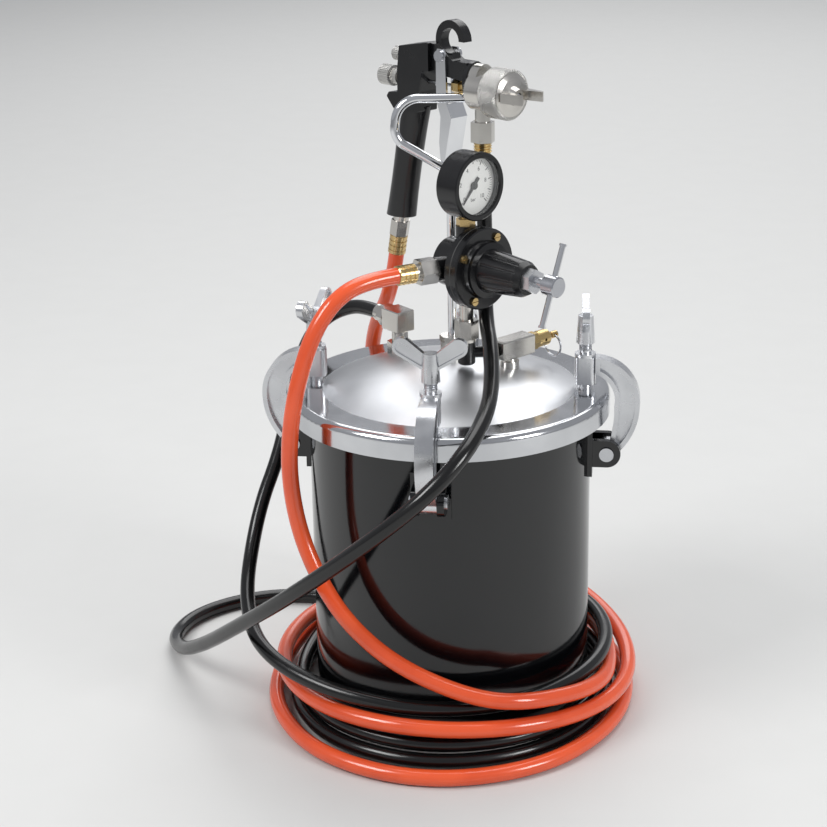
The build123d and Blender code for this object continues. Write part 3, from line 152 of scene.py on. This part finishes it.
@dataclass(frozen=True)
class Finish:
    """A painted, plated, bare or moulded surface with its own small unevenness.

    The grain is the bump's noise scale, per metre, and the depth is its height in metres.
    """

    name: str
    colour: Point
    shade: Point
    metallic: float = 0.0
    roughness: float = 0.3
    spread: float = 0.08
    grain: float = 300.0
    relief: float = 0.05
    depth: float = 0.0001
    coat: float = 0.0
    specular: float = 0.5
    lay: Lay = Lay.PLAIN

    def material(self) -> bpy.types.Material:
        """Build the finish's material, or find it if it was built before.

        Returns:
            The material.
        """
        label = f"{self.name}_finish"
        found = bpy.data.materials.get(label)
        if found:
            return found
        made = bpy.data.materials.new(label)
        made.use_nodes = True
        tree = made.node_tree
        shader = tree.nodes["Principled BSDF"]
        shader.inputs["Metallic"].default_value = self.metallic
        shader.inputs["Coat Weight"].default_value = self.coat
        shader.inputs["Coat Roughness"].default_value = COAT_ROUGHNESS
        shader.inputs["Specular IOR Level"].default_value = self.specular
        coords = tree.nodes.new("ShaderNodeTexCoord").outputs["Object"]
        tree.links.new(self.tint(tree, coords), shader.inputs["Base Color"])
        tree.links.new(self.gloss(tree, coords), shader.inputs["Roughness"])
        tree.links.new(self.surface(tree, coords), shader.inputs["Normal"])
        return made

    def tint(self, tree: Tree, coords: Socket) -> Socket:
        """Mix the finish's two colours in soft patches."""
        patches = noise(tree, coords, PATCH_SCALE, PATCH_DETAIL)
        return ramp(tree, patches, [(PATCH_LOW, self.shade), (PATCH_HIGH, self.colour)])

    def gloss(self, tree: Tree, coords: Socket) -> Socket:
        """Vary the roughness a little, as handling and dust do.

        Args:
            tree: The material's nodes.
            coords: Object coordinates.

        Returns:
            The roughness.
        """
        smears = noise(tree, coords, 35.0, 6.0)
        low, high = max(0.02, self.roughness - self.spread), self.roughness + self.spread
        return remap(tree, smears, SMEAR_RANGE, (low, high))

    def surface(self, tree: Tree, coords: Socket) -> Socket:
        """Raise the finish's grain as a bump.

        Args:
            tree: The material's nodes.
            coords: Object coordinates.

        Returns:
            The normal.
        """
        if self.lay is Lay.CAST:
            height = noise(tree, coords, self.grain, 8.0)
        elif self.lay is Lay.TURNED:
            height = rings(tree, coords, self.grain)
        elif self.lay is Lay.DRAWN:
            height = noise(tree, scaled(tree, coords, DRAWN_STRETCH), self.grain, 3.0)
        else:
            height = noise(tree, coords, self.grain, 2.0)
        return bump(tree, height, self.relief, self.depth)


def noise(tree: Tree, coords: Socket, scale: float, detail: float) -> Socket:
    """Add a noise texture.

    Args:
        tree: The material's nodes.
        coords: The coordinates that the noise is read at.
        scale: Its scale, per metre.
        detail: Its octaves.

    Returns:
        The noise's height, from 0 to 1.
    """
    texture = tree.nodes.new("ShaderNodeTexNoise")
    texture.inputs["Scale"].default_value = scale
    texture.inputs["Detail"].default_value = detail
    tree.links.new(coords, texture.inputs["Vector"])
    return texture.outputs["Fac"]


def scaled(tree: Tree, coords: Socket, scale: Point) -> Socket:
    """Stretch coordinates by a scale on each axis.

    Args:
        tree: The material's nodes.
        coords: Object coordinates.
        scale: The scale along X, Y and Z.

    Returns:
        The stretched coordinates.
    """
    mapping = tree.nodes.new("ShaderNodeMapping")
    mapping.inputs["Scale"].default_value = scale
    tree.links.new(coords, mapping.inputs["Vector"])
    return mapping.outputs["Vector"]


def centred(tree: Tree, coords: Socket, place: Matrix) -> Socket:
    """Express coordinates about a placed axis, with its direction as +Z.

    Args:
        tree: The material's nodes.
        coords: Object coordinates.
        place: The axis's own frame, as upright() gives it.

    Returns:
        The coordinates in that frame.
    """
    inverse = place.inverted()
    mapping = tree.nodes.new("ShaderNodeMapping")
    mapping.inputs["Location"].default_value = inverse.to_translation()
    mapping.inputs["Rotation"].default_value = inverse.to_euler("XYZ")
    tree.links.new(coords, mapping.inputs["Vector"])
    return mapping.outputs["Vector"]


def calc(tree: Tree, operation: str, *values: Socket | float) -> Socket:
    """Add one math node.

    Args:
        tree: The material's nodes.
        operation: Blender's name of the operation.
        values: The node's inputs in order, as sockets or plain numbers.

    Returns:
        The result.
    """
    node = tree.nodes.new("ShaderNodeMath")
    node.operation = operation
    for index, value in enumerate(values):
        if isinstance(value, (int, float)):
            node.inputs[index].default_value = value
        else:
            tree.links.new(value, node.inputs[index])
    return node.outputs["Value"]


def polar(tree: Tree, coords: Socket) -> tuple[Socket, Socket, Socket]:
    """Split coordinates into a radius, an angle and a height about +Z.

    Args:
        tree: The material's nodes.
        coords: The coordinates to split.

    Returns:
        The radius, the angle in radians and the height.
    """
    parts = tree.nodes.new("ShaderNodeSeparateXYZ")
    tree.links.new(coords, parts.inputs["Vector"])
    x, y, z = (parts.outputs[axis] for axis in "XYZ")
    radius = calc(tree, "SQRT", calc(tree, "ADD", calc(tree, "MULTIPLY", x, x), calc(tree, "MULTIPLY", y, y)))
    return radius, calc(tree, "ARCTAN2", y, x), z


def rings(tree: Tree, coords: Socket, scale: float) -> Socket:
    """Fine turning marks: noise that changes with the radius and the height only.

    Args:
        tree: The material's nodes.
        coords: Coordinates about the turned axis.
        scale: The noise's scale, per metre.

    Returns:
        The marks' height, from 0 to 1.
    """
    radius, _, height = polar(tree, coords)
    joined = tree.nodes.new("ShaderNodeCombineXYZ")
    tree.links.new(radius, joined.inputs["X"])
    tree.links.new(height, joined.inputs["Y"])
    return noise(tree, joined.outputs["Vector"], scale, 3.0)


def remap(tree: Tree, value: Socket, source: tuple[float, float], target: tuple[float, float]) -> Socket:
    """Map one range of values onto another, and hold it within the second.

    Args:
        tree: The material's nodes.
        value: The value to map.
        source: The range that it comes in.
        target: The range that it is given.

    Returns:
        The mapped value.
    """
    node = tree.nodes.new("ShaderNodeMapRange")
    for name, number in zip(("From Min", "From Max", "To Min", "To Max"), (*source, *target)):
        node.inputs[name].default_value = number
    tree.links.new(value, node.inputs["Value"])
    return node.outputs["Result"]


def ramp(tree: Tree, value: Socket, stops: list[tuple[float, Point]]) -> Socket:
    """Turn a value into a colour through a few stops.

    Args:
        tree: The material's nodes.
        value: A value from 0 to 1.
        stops: Places from 0 to 1, each with its colour, in rising order.

    Returns:
        The colour.
    """
    node = tree.nodes.new("ShaderNodeValToRGB")
    for element, (place, colour) in zip(node.color_ramp.elements, (stops[0], stops[-1])):
        element.position = place
        element.color = (*colour, 1.0)
    for place, colour in stops[1:-1]:
        node.color_ramp.elements.new(place).color = (*colour, 1.0)
    tree.links.new(value, node.inputs["Fac"])
    return node.outputs["Color"]


def bump(tree: Tree, height: Socket, strength: float, distance: float) -> Socket:
    """Turn a height into a normal.

    Args:
        tree: The material's nodes.
        height: The surface's height, from 0 to 1.
        strength: How much of the bump is used.
        distance: What a height of 1 stands for, in metres.

    Returns:
        The normal.
    """
    node = tree.nodes.new("ShaderNodeBump")
    node.inputs["Strength"].default_value = strength
    node.inputs["Distance"].default_value = distance
    tree.links.new(height, node.inputs["Height"])
    return node.outputs["Normal"]


@dataclass(frozen=True)
class LidFinish(Finish):
    """Satin dome inside a polished step and rim."""

    dome_edge: float = 110 * MM
    edge_blend: float = 1 * MM
    polish: float = 0.12

    def gloss(self, tree: Tree, coords: Socket) -> Socket:
        """Satin within the dome's edge and polished outside it.

        Args:
            tree: The material's nodes.
            coords: Object coordinates.

        Returns:
            The roughness.
        """
        radius, _, _ = polar(tree, coords)
        edge = (self.dome_edge - self.edge_blend, self.dome_edge + self.edge_blend)
        band = remap(tree, radius, edge, (self.roughness, self.polish))
        smears = remap(tree, noise(tree, coords, 30.0, 5.0), SMEAR_RANGE, (-self.spread, self.spread))
        return calc(tree, "ADD", band, smears)


@dataclass(frozen=True)
class KnurlFinish(Finish):
    """Metal knurled round an axis."""

    origin: Point = (0.0, 0.0, 0.0)
    along: Point = (0.0, 0.0, 1.0)
    teeth: int = 60
    pitch: float = 1.0 * MM
    straight: bool = False

    def surface(self, tree: Tree, coords: Socket) -> Socket:
        """Cut the knurl from two sets of crossing flutes, or one straight set.

        Args:
            tree: The material's nodes.
            coords: Object coordinates.

        Returns:
            The normal.
        """
        local = centred(tree, coords, upright(Vector(self.origin), Vector(self.along)))
        _, angle, height = polar(tree, local)
        turns = calc(tree, "MULTIPLY", angle, float(self.teeth))
        if self.straight:
            return bump(tree, calc(tree, "SINE", turns), KNURL_RELIEF, self.depth)
        rise = calc(tree, "MULTIPLY", height, 2 * math.pi / self.pitch)
        left = calc(tree, "SINE", calc(tree, "ADD", turns, rise))
        right = calc(tree, "SINE", calc(tree, "SUBTRACT", turns, rise))
        return bump(tree, calc(tree, "MAXIMUM", left, right), KNURL_RELIEF, self.depth)


@dataclass(frozen=True)
class GlassFinish:
    """Clear flat window with faint smears."""

    name: str
    colour: Point = (0.97, 0.98, 0.98)
    alpha: float = 0.06

    def material(self) -> bpy.types.Material:
        """Build the window's material.

        Returns:
            The material.
        """
        made = bpy.data.materials.new(f"{self.name}_finish")
        made.use_nodes = True
        tree = made.node_tree
        shader = tree.nodes["Principled BSDF"]
        shader.inputs["Base Color"].default_value = (*self.colour, 1.0)
        shader.inputs["Specular IOR Level"].default_value = 1.0
        shader.inputs["Alpha"].default_value = self.alpha
        coords = tree.nodes.new("ShaderNodeTexCoord").outputs["Object"]
        smears = remap(tree, noise(tree, coords, 60.0, 6.0), SMEAR_RANGE, (0.01, 0.06))
        tree.links.new(smears, shader.inputs["Roughness"])
        return made


REGULATOR_AXIS = heading(-38.0)
GUN_AXIS = heading(-39.0)
GUN_ORIGIN = Vector((9.4, 30.5, 540.0)) * MM
PORT_AXIS = heading(-142.0)
ELBOW_AXIS = heading(135.0)
PATTERN_RISE = UP * 20 * MM

ENAMEL = Finish("black_enamel", (0.0015, 0.0018, 0.0025), (0.0025, 0.0028, 0.0036), roughness=0.1,
                spread=0.03, grain=26.0, relief=0.06, depth=0.002, specular=0.62)
LID_STEEL = LidFinish("lid_steel", (0.64, 0.65, 0.67), (0.55, 0.56, 0.58), metallic=1.0, roughness=0.36,
                      spread=0.03, grain=900.0, relief=0.12, depth=0.00005, lay=Lay.TURNED)
ALUMINIUM = Finish("cast_aluminium", (0.72, 0.73, 0.75), (0.6, 0.61, 0.63), metallic=1.0, roughness=0.27,
                   spread=0.08, grain=420.0, relief=0.35, depth=0.0002, lay=Lay.CAST)
ZINC = Finish("zinc_steel", (0.62, 0.63, 0.65), (0.5, 0.51, 0.54), metallic=1.0, roughness=0.28,
              spread=0.08, grain=700.0, relief=0.1)
CHROME = Finish("chrome", (0.78, 0.79, 0.81), (0.7, 0.71, 0.73), metallic=1.0, roughness=0.1, spread=0.05,
                grain=500.0, relief=0.05, lay=Lay.DRAWN)
NICKEL = Finish("nickel", (0.66, 0.64, 0.6), (0.55, 0.53, 0.5), metallic=1.0, roughness=0.2, spread=0.07,
                grain=600.0, relief=0.08)
BRASS = Finish("brass", (0.72, 0.53, 0.24), (0.58, 0.42, 0.2), metallic=1.0, roughness=0.24, spread=0.08,
               grain=600.0, relief=0.1)
CASTING = Finish("black_casting", (0.003, 0.003, 0.0036), (0.006, 0.006, 0.007), roughness=0.24,
                 spread=0.06, grain=900.0, relief=0.2, depth=0.0002, lay=Lay.CAST)
RUBBER = Finish("black_rubber", (0.003, 0.003, 0.0032), (0.006, 0.006, 0.006), roughness=0.2, spread=0.07,
                grain=240.0, relief=0.1, depth=0.0002)
SEAL = Finish("seal_rubber", (0.03, 0.03, 0.03), (0.05, 0.05, 0.048), roughness=0.6, grain=500.0)
ORANGE = Finish("orange_pvc", (0.78, 0.1, 0.028), (0.68, 0.075, 0.02), roughness=0.2, spread=0.07,
                grain=200.0, relief=0.08, depth=0.0002, coat=0.3)
DIAL = Finish("dial_white", (0.84, 0.84, 0.81), (0.78, 0.78, 0.75), roughness=0.5, grain=900.0, relief=0.03)
INK = Finish("needle_black", (0.015, 0.015, 0.015), (0.03, 0.03, 0.03), roughness=0.45, grain=800.0)
LENS = GlassFinish("lens_glass")
KNURL_BRIGHT, KNURL_DARK = (0.62, 0.61, 0.58), (0.5, 0.49, 0.47)
RING_KNURL = KnurlFinish("cap_ring_knurl", KNURL_BRIGHT, KNURL_DARK, metallic=1.0, roughness=0.25,
                         depth=0.0006, origin=tuple(GUN_ORIGIN), along=tuple(GUN_AXIS), teeth=64,
                         pitch=2.1 * MM)
KNOB_KNURL = KnurlFinish("knob_knurl", KNURL_BRIGHT, KNURL_DARK, metallic=1.0, roughness=0.25,
                         depth=0.0004, origin=tuple(GUN_ORIGIN), along=tuple(GUN_AXIS), teeth=36,
                         straight=True)
PATTERN_KNURL = KnurlFinish("pattern_knurl", KNURL_BRIGHT, KNURL_DARK, metallic=1.0, roughness=0.25,
                            depth=0.0004, origin=tuple(GUN_ORIGIN + PATTERN_RISE), along=tuple(GUN_AXIS),
                            teeth=28, straight=True)

SLOT_FINISHES = {finish.name: finish for finish in (
    ENAMEL, LID_STEEL, ALUMINIUM, ZINC, CHROME, NICKEL, BRASS,
    CASTING, RUBBER, SEAL, ORANGE, DIAL, INK, LENS)}
NODE_FINISHES = {"cap_ring": RING_KNURL, "fluid_knob": KNOB_KNURL, "pattern_knob": PATTERN_KNURL}


def dress(piece: bpy.types.Object, finish: Finish | GlassFinish) -> None:
    """Give a piece one finish all over."""
    piece.data.materials.clear()
    piece.data.materials.append(finish.material())


def dress_frame() -> None:
    """Give every CAD node the finish of its slot, or its own where it has one."""
    for subpart in frame["record"]["subparts"]:
        node = subpart["node"]
        finish = NODE_FINISHES.get(node) or SLOT_FINISHES[subpart["material_slot"]]
        dress(frame["nodes"][node], finish)
        log.info("%s: %s", node, finish.name)


# ---------------------------------------------------------------- hoses
def coil(stations: list[Station], spacing: float = 30.0) -> list[Point]:
    """Points of loose turns through (azimuth, radius, height) stations, eased between them.

    Args:
        stations: Azimuths in degrees that keep growing, with radii and heights in millimetres.
        spacing: Degrees from one point to the next.

    Returns:
        The points, in millimetres.
    """
    points = []
    spread = 1 / math.cos(math.radians(spacing / 2))
    for (a0, r0, z0), (a1, r1, z1) in zip(stations, stations[1:]):
        steps = round((a1 - a0) / spacing)
        for step in range(steps):
            share = step / steps
            ease = (1 - math.cos(math.pi * share)) / 2
            out = heading(a0 + (a1 - a0) * share) * ((r0 + (r1 - r0) * ease) * spread)
            points.append((out.x, out.y, z0 + (z1 - z0) * ease))
    last, radius, height = stations[-1]
    out = heading(last) * (radius * spread)
    return points + [(out.x, out.y, height)]


@dataclass
class Hose:
    """A free hose that leaves one fitting and ends in another, with its sizes in millimetres."""

    name: str
    node: str
    finish: Finish
    diameter: float
    length: float
    points: list[Point]
    smoothness: int = 8

    def build(self) -> bpy.types.Object:
        """Returns:
            The hose's curve object.
        """
        curve = bpy.data.curves.new(self.name, "CURVE")
        curve.dimensions = "3D"
        spline = curve.splines.new("NURBS")
        spline.points.add(len(self.points) - 1)
        for control, point in zip(spline.points, self.points):
            control.co = (*(Vector(point) * MM), 1.0)
        spline.order_u = 3
        spline.use_endpoint_u = True
        curve.resolution_u = self.smoothness
        curve.bevel_depth = self.diameter / 2 * MM
        curve.bevel_resolution = self.smoothness
        curve.use_fill_caps = True
        piece = bpy.data.objects.new(self.name, curve)
        bpy.context.scene.collection.objects.link(piece)
        curve.materials.append(self.finish.material())
        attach(piece, "tank")
        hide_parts(self.node)
        log.info("%s: %.0f mm of hose", self.name, self.length)
        return piece


def gun_point(x: float, z: float) -> Point:
    """A point of the gun's middle plane, from its needle's axis, in millimetres."""
    return tuple(GUN_ORIGIN / MM + GUN_AXIS * x + UP * z)


@dataclass
class Hoses:
    """The air hose and the fluid hose on their routes, in millimetres."""

    regulator: Point = (17.0, -15.0, 399.0)
    regulator_mouth: float = 67.0
    regulator_straight: float = 95.0
    elbow: Point = (-50.0, 47.0, 330.5)
    elbow_mouth: float = 30.5
    elbow_straight: float = 23.0
    grip_top: Point = (-58.0, 0.0, -22.0)
    grip_foot: Point = (-78.5, 0.0, -122.0)
    grip_mouth: float = 37.0
    grip_straight: float = 75.0
    gun_inlet: tuple[float, float] = (24.0, -52.0)

    def air(self) -> Hose:
        """From the regulator down in front, round the tank and up to the grip.

        Returns:
            The air hose, ready to build.
        """
        regulator, foot = Vector(self.regulator), Vector(self.grip_foot)
        below = (foot - Vector(self.grip_top)).normalized()
        mouth, before = foot + below * self.grip_mouth, foot + below * self.grip_straight
        route = [tuple(regulator + PORT_AXIS * self.regulator_mouth),
                 tuple(regulator + PORT_AXIS * self.regulator_straight)]
        route += [(-80, -90, 389), (-97, -101, 364), (-109, -106, 329), (-118, -108, 288), (-122, -105, 240),
                  (-116, -103, 190), (-98, -113, 149), (-69, -131, 115), (-24, -148, 87), (38, -157, 67)]
        route += coil([(-60, 162, 60), (-30, 156, 46), (0, 139, 37), (90, 152, 36), (180, 150, 36),
                       (270, 167, 43), (360, 158, 25), (450, 175, 50), (540, 156, 8), (630, 187, 7.2),
                       (720, 156, 7.1), (780, 158, 7.3)])
        route += [(30, 164, 8), (-32, 186, 14), (-80, 196, 62), (-98, 184, 135), (-99, 165, 200),
                  (-95, 150, 253), (-86, 130, 302)]
        route += [gun_point(before.x, before.z), gun_point(mouth.x, mouth.z)]
        return Hose("air_hose_line", "air_hose", ORANGE, 14.0, 3440.0, route)

    def fluid(self) -> Hose:
        """From the elbow down on the left, round the tank, out in a wide loop and up to the gun.

        Returns:
            The fluid hose, ready to build.
        """
        mouth = Vector(self.elbow) + ELBOW_AXIS * self.elbow_mouth
        route = [tuple(mouth), tuple(mouth + ELBOW_AXIS * self.elbow_straight)]
        route += [(-104, 94, 327), (-123, 98, 318), (-139, 96, 302), (-149, 88, 279), (-156, 73, 250),
                  (-160, 58, 218), (-167, 45, 190), (-177, 32, 162), (-183, 12, 130), (-182, -30, 97),
                  (-167, -75, 77), (-141, -106, 67), (-104, -131, 61), (-62, -146, 56)]
        route += coil([(-90, 148, 51), (0, 138, 54), (90, 137, 54), (180, 133, 22), (270, 160, 24),
                       (360, 138, 21), (450, 137, 21), (480, 137, 20.5), (540, 137, 8), (630, 167, 12),
                       (720, 138, 7), (810, 136, 7.2), (840, 140, 7)])
        route += [(-118, 148, 7), (-172, 160, 7.2), (-226, 143, 7), (-266, 102, 7.1), (-276, 52, 7.3),
                  (-254, 4, 17), (-218, -48, 50), (-174, -104, 96), (-121, -160, 148), (-60, -203, 206),
                  (2, -220, 262), (36, -196, 295), (49, -149, 314), (48, -101, 324), (42, -56, 341),
                  (36, -26, 347), (32, -4, 359), (30, 11, 380), (29, 21, 410), (28, 24, 445)]
        route += [gun_point(*self.gun_inlet)]
        return Hose("fluid_hose_line", "fluid_hose", RUBBER, 13.0, 4045.0, route)

    def build(self) -> None:
        """Lay both hoses."""
        self.air().build()
        self.fluid().build()


# ---------------------------------------------------------------- gauge
@dataclass
class GaugeFace:
    """Marks and figures printed on the gauge's dial, in millimetres and degrees."""

    centre: Point = (17.0, -15.0, 467.8)
    face: float = 8.8
    radius: float = 22.0
    start: float = 225.0
    sweep: float = 270.0
    divisions: int = 50
    major_every: int = 5
    major_line: tuple[float, float] = (4.0, 0.75)
    minor_line: tuple[float, float] = (2.2, 0.35)
    print_height: float = 0.12
    figure_size: float = 5.0
    figure_inset: float = 7.4
    unit_size: float = 4.4
    unit_drop: float = 12.0

    def plane(self) -> Matrix:
        """The dial's own frame, with +Z out of the face and +Y up."""
        origin = Vector(self.centre) * MM + REGULATOR_AXIS * (self.face * MM)
        return upright(origin, REGULATOR_AXIS)

    def angle(self, index: int) -> float:
        """The angle of a division, in radians from the dial's +X."""
        return math.radians(self.start - self.sweep * index / self.divisions)

    def tick(self, index: int) -> bpy.types.Object:
        """One graduation line, longer at the numbered divisions.

        Args:
            index: Which division, from zero.

        Returns:
            The mesh of the line.
        """
        major = index % self.major_every == 0
        length, width = self.major_line if major else self.minor_line
        reach = (self.radius - length / 2) * MM
        bpy.ops.mesh.primitive_cube_add(size=1.0, location=(0, 0, 0))
        line = bpy.context.object
        line.scale = (length * MM, width * MM, self.print_height * MM)
        settle(line)
        out = Matrix.Translation((reach, 0, self.print_height * MM / 2))
        place = Matrix.Rotation(self.angle(index), 4, "Z") @ out
        return settle(line, self.plane() @ place)

    def figure(self, text: str, x: float, y: float, size: float) -> bpy.types.Object:
        """A number on the dial.

        Args:
            text: The digits.
            x: Distance right of the centre, in millimetres.
            y: Distance above the centre, in millimetres.
            size: Height of the type, in millimetres.

        Returns:
            The mesh of the digits.
        """
        bpy.ops.object.text_add(location=(0, 0, 0))
        label = bpy.context.object
        label.data.body = text
        label.data.size = size * MM
        label.data.align_x = "CENTER"
        label.data.align_y = "CENTER"
        label.data.extrude = self.print_height / 2 * MM
        pick(label)
        bpy.ops.object.convert(target="MESH")
        place = Matrix.Translation(Vector((x, y, self.print_height / 2)) * MM)
        return settle(bpy.context.object, self.plane() @ place)

    def build(self) -> None:
        """Print the dial's marks and set them on the tank's body."""
        clear_selection()
        marks = [self.tick(index) for index in range(self.divisions + 1)]
        reach = self.radius - self.figure_inset
        for index in range(0, self.divisions + 1, self.major_every * 2):
            turn = self.angle(index)
            value = str(index // self.major_every)
            marks.append(self.figure(value, reach * math.cos(turn), reach * math.sin(turn), self.figure_size))
        marks.append(self.figure("bar", 0.0, -self.unit_drop, self.unit_size))
        piece = join(marks, "dial_marks")
        dress(piece, INK)
        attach(piece, "tank")
        log.info("dial_marks: %d faces", len(piece.data.polygons))


# ---------------------------------------------------------------- clamp threads
@dataclass
class ClampThread:
    """The bare stretch of thread between a clamp's block and its wing hub, in millimetres and degrees."""

    side: str
    azimuth: float
    reach: float = 117.0
    core: float = 4.85
    crest: float = 5.5
    pitch: float = 1.5
    bottom: float = 321.0
    turns: int = 5
    steps: int = 32
    root_half: float = 0.5
    crest_half: float = 0.08
    smooth_below: float = 35.0

    def build(self) -> None:
        """Screw a small V profile round the clamp's axis and set it on the screw."""
        clear_selection()
        corners = [(self.core, -self.root_half), (self.crest, -self.crest_half),
                   (self.crest, self.crest_half), (self.core, self.root_half)]
        profile = [(radius * MM, 0.0, height * self.pitch * MM) for radius, height in corners]
        mesh = bpy.data.meshes.new(f"thread_{self.side}")
        mesh.from_pydata(profile, [(0, 1), (1, 2), (2, 3), (3, 0)], [])
        piece = bpy.data.objects.new(f"thread_{self.side}", mesh)
        bpy.context.scene.collection.objects.link(piece)
        pick(piece)
        winding = piece.modifiers.new("winding", "SCREW")
        winding.axis = "Z"
        winding.angle = 2 * math.pi
        winding.iterations = self.turns
        winding.screw_offset = self.pitch * MM
        winding.steps = self.steps
        winding.render_steps = self.steps
        winding.use_merge_vertices = True
        bpy.ops.object.modifier_apply(modifier="winding")
        bpy.ops.object.mode_set(mode="EDIT")
        bpy.ops.mesh.select_all(action="SELECT")
        bpy.ops.mesh.remove_doubles(threshold=1e-6)
        bpy.ops.mesh.normals_make_consistent(inside=False)
        bpy.ops.object.mode_set(mode="OBJECT")
        out = heading(self.azimuth) * (self.reach * MM)
        settle(piece, Matrix.Translation((out.x, out.y, (self.bottom + self.pitch) * MM)))
        bpy.ops.object.shade_smooth_by_angle(angle=math.radians(self.smooth_below))
        dress(piece, ZINC)
        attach(piece, f"screw_{self.side}")
        log.info("thread_%s built", self.side)


# ---------------------------------------------------------------- studio
@dataclass
class Studio:
    """Floor, lights and camera, in metres and watts."""

    grey: float = 0.6
    floor_size: float = 30.0
    camera_place: Point = (0.2092, -1.6041, 0.8314)
    camera_right: Point = (0.9896, 0.1432, -0.0156)
    camera_up: Point = (-0.033, 0.3312, 0.943)
    focal_length: float = 85.83
    sensor: float = 36.0
    air: Point = (0.93, 0.95, 1.0)
    air_strength: float = 0.42

    def floor(self) -> None:
        """Lay the plain floor."""
        clear_selection()
        bpy.ops.mesh.primitive_plane_add(size=self.floor_size, location=(0, 0, 0))
        plane = bpy.context.object
        plane.name = "studio_floor"
        paint = Finish("studio_grey", (self.grey, self.grey, self.grey * 0.98),
                       (self.grey * 0.99, self.grey * 0.99, self.grey * 0.97), roughness=0.85, spread=0.03,
                       grain=40.0, relief=0.02)
        dress(plane, paint)

    def light(self, name: str, place: Point, aim: Point, size: float, power: float) -> None:
        """Add one soft square light.

        Args:
            name: The light's name.
            place: Where it hangs.
            aim: The point it faces.
            size: Its side, in metres.
            power: Its power, in watts.
        """
        lamp = bpy.data.lights.new(name, "AREA")
        lamp.shape = "SQUARE"
        lamp.size = size
        lamp.energy = power
        rig = bpy.data.objects.new(name, lamp)
        rig.location = place
        rig.rotation_euler = (Vector(aim) - Vector(place)).to_track_quat("-Z", "Y").to_euler()
        bpy.context.scene.collection.objects.link(rig)

    def camera(self) -> None:
        """Set the camera that looks down on the tank's front."""
        lens = bpy.data.cameras.new("view")
        lens.lens = self.focal_length
        lens.sensor_width = self.sensor
        rig = bpy.data.objects.new("view", lens)
        right, up = Vector(self.camera_right).normalized(), Vector(self.camera_up).normalized()
        back = right.cross(up)
        turn = Matrix((right, up, back)).transposed().to_4x4()
        rig.matrix_world = Matrix.Translation(self.camera_place) @ turn
        bpy.context.scene.collection.objects.link(rig)
        bpy.context.scene.camera = rig

    def build(self) -> None:
        """Build the whole studio."""
        self.floor()
        self.camera()
        world = bpy.data.worlds.new("studio_air")
        world.use_nodes = True
        background = world.node_tree.nodes["Background"]
        background.inputs["Color"].default_value = (*self.air, 1.0)
        background.inputs["Strength"].default_value = self.air_strength
        bpy.context.scene.world = world
        bpy.context.scene.view_settings.view_transform = "Standard"
        self.light("key", (-1.7, -1.3, 2.1), (0, 0, 0.25), 1.1, 42.0)
        self.light("window", (1.9, -1.0, 1.1), (0, 0, 0.2), 0.7, 22.0)
        self.light("top", (0.1, 0.7, 2.6), (0, 0, 0.2), 1.8, 30.0)
        self.light("backdrop", (0.0, 3.4, 2.6), (0, 3.2, 0.0), 3.0, 60.0)
        log.info("studio built")


def main() -> None:
    """Build every piece in order."""
    Studio().build()
    Hoses().build()
    dress_frame()
    GaugeFace().build()
    for side, azimuth in {"front": -90.0, "right": 0.0, "back": 90.0, "left": 180.0}.items():
        ClampThread(side, azimuth).build()


if __name__ == "__main__":
    main()
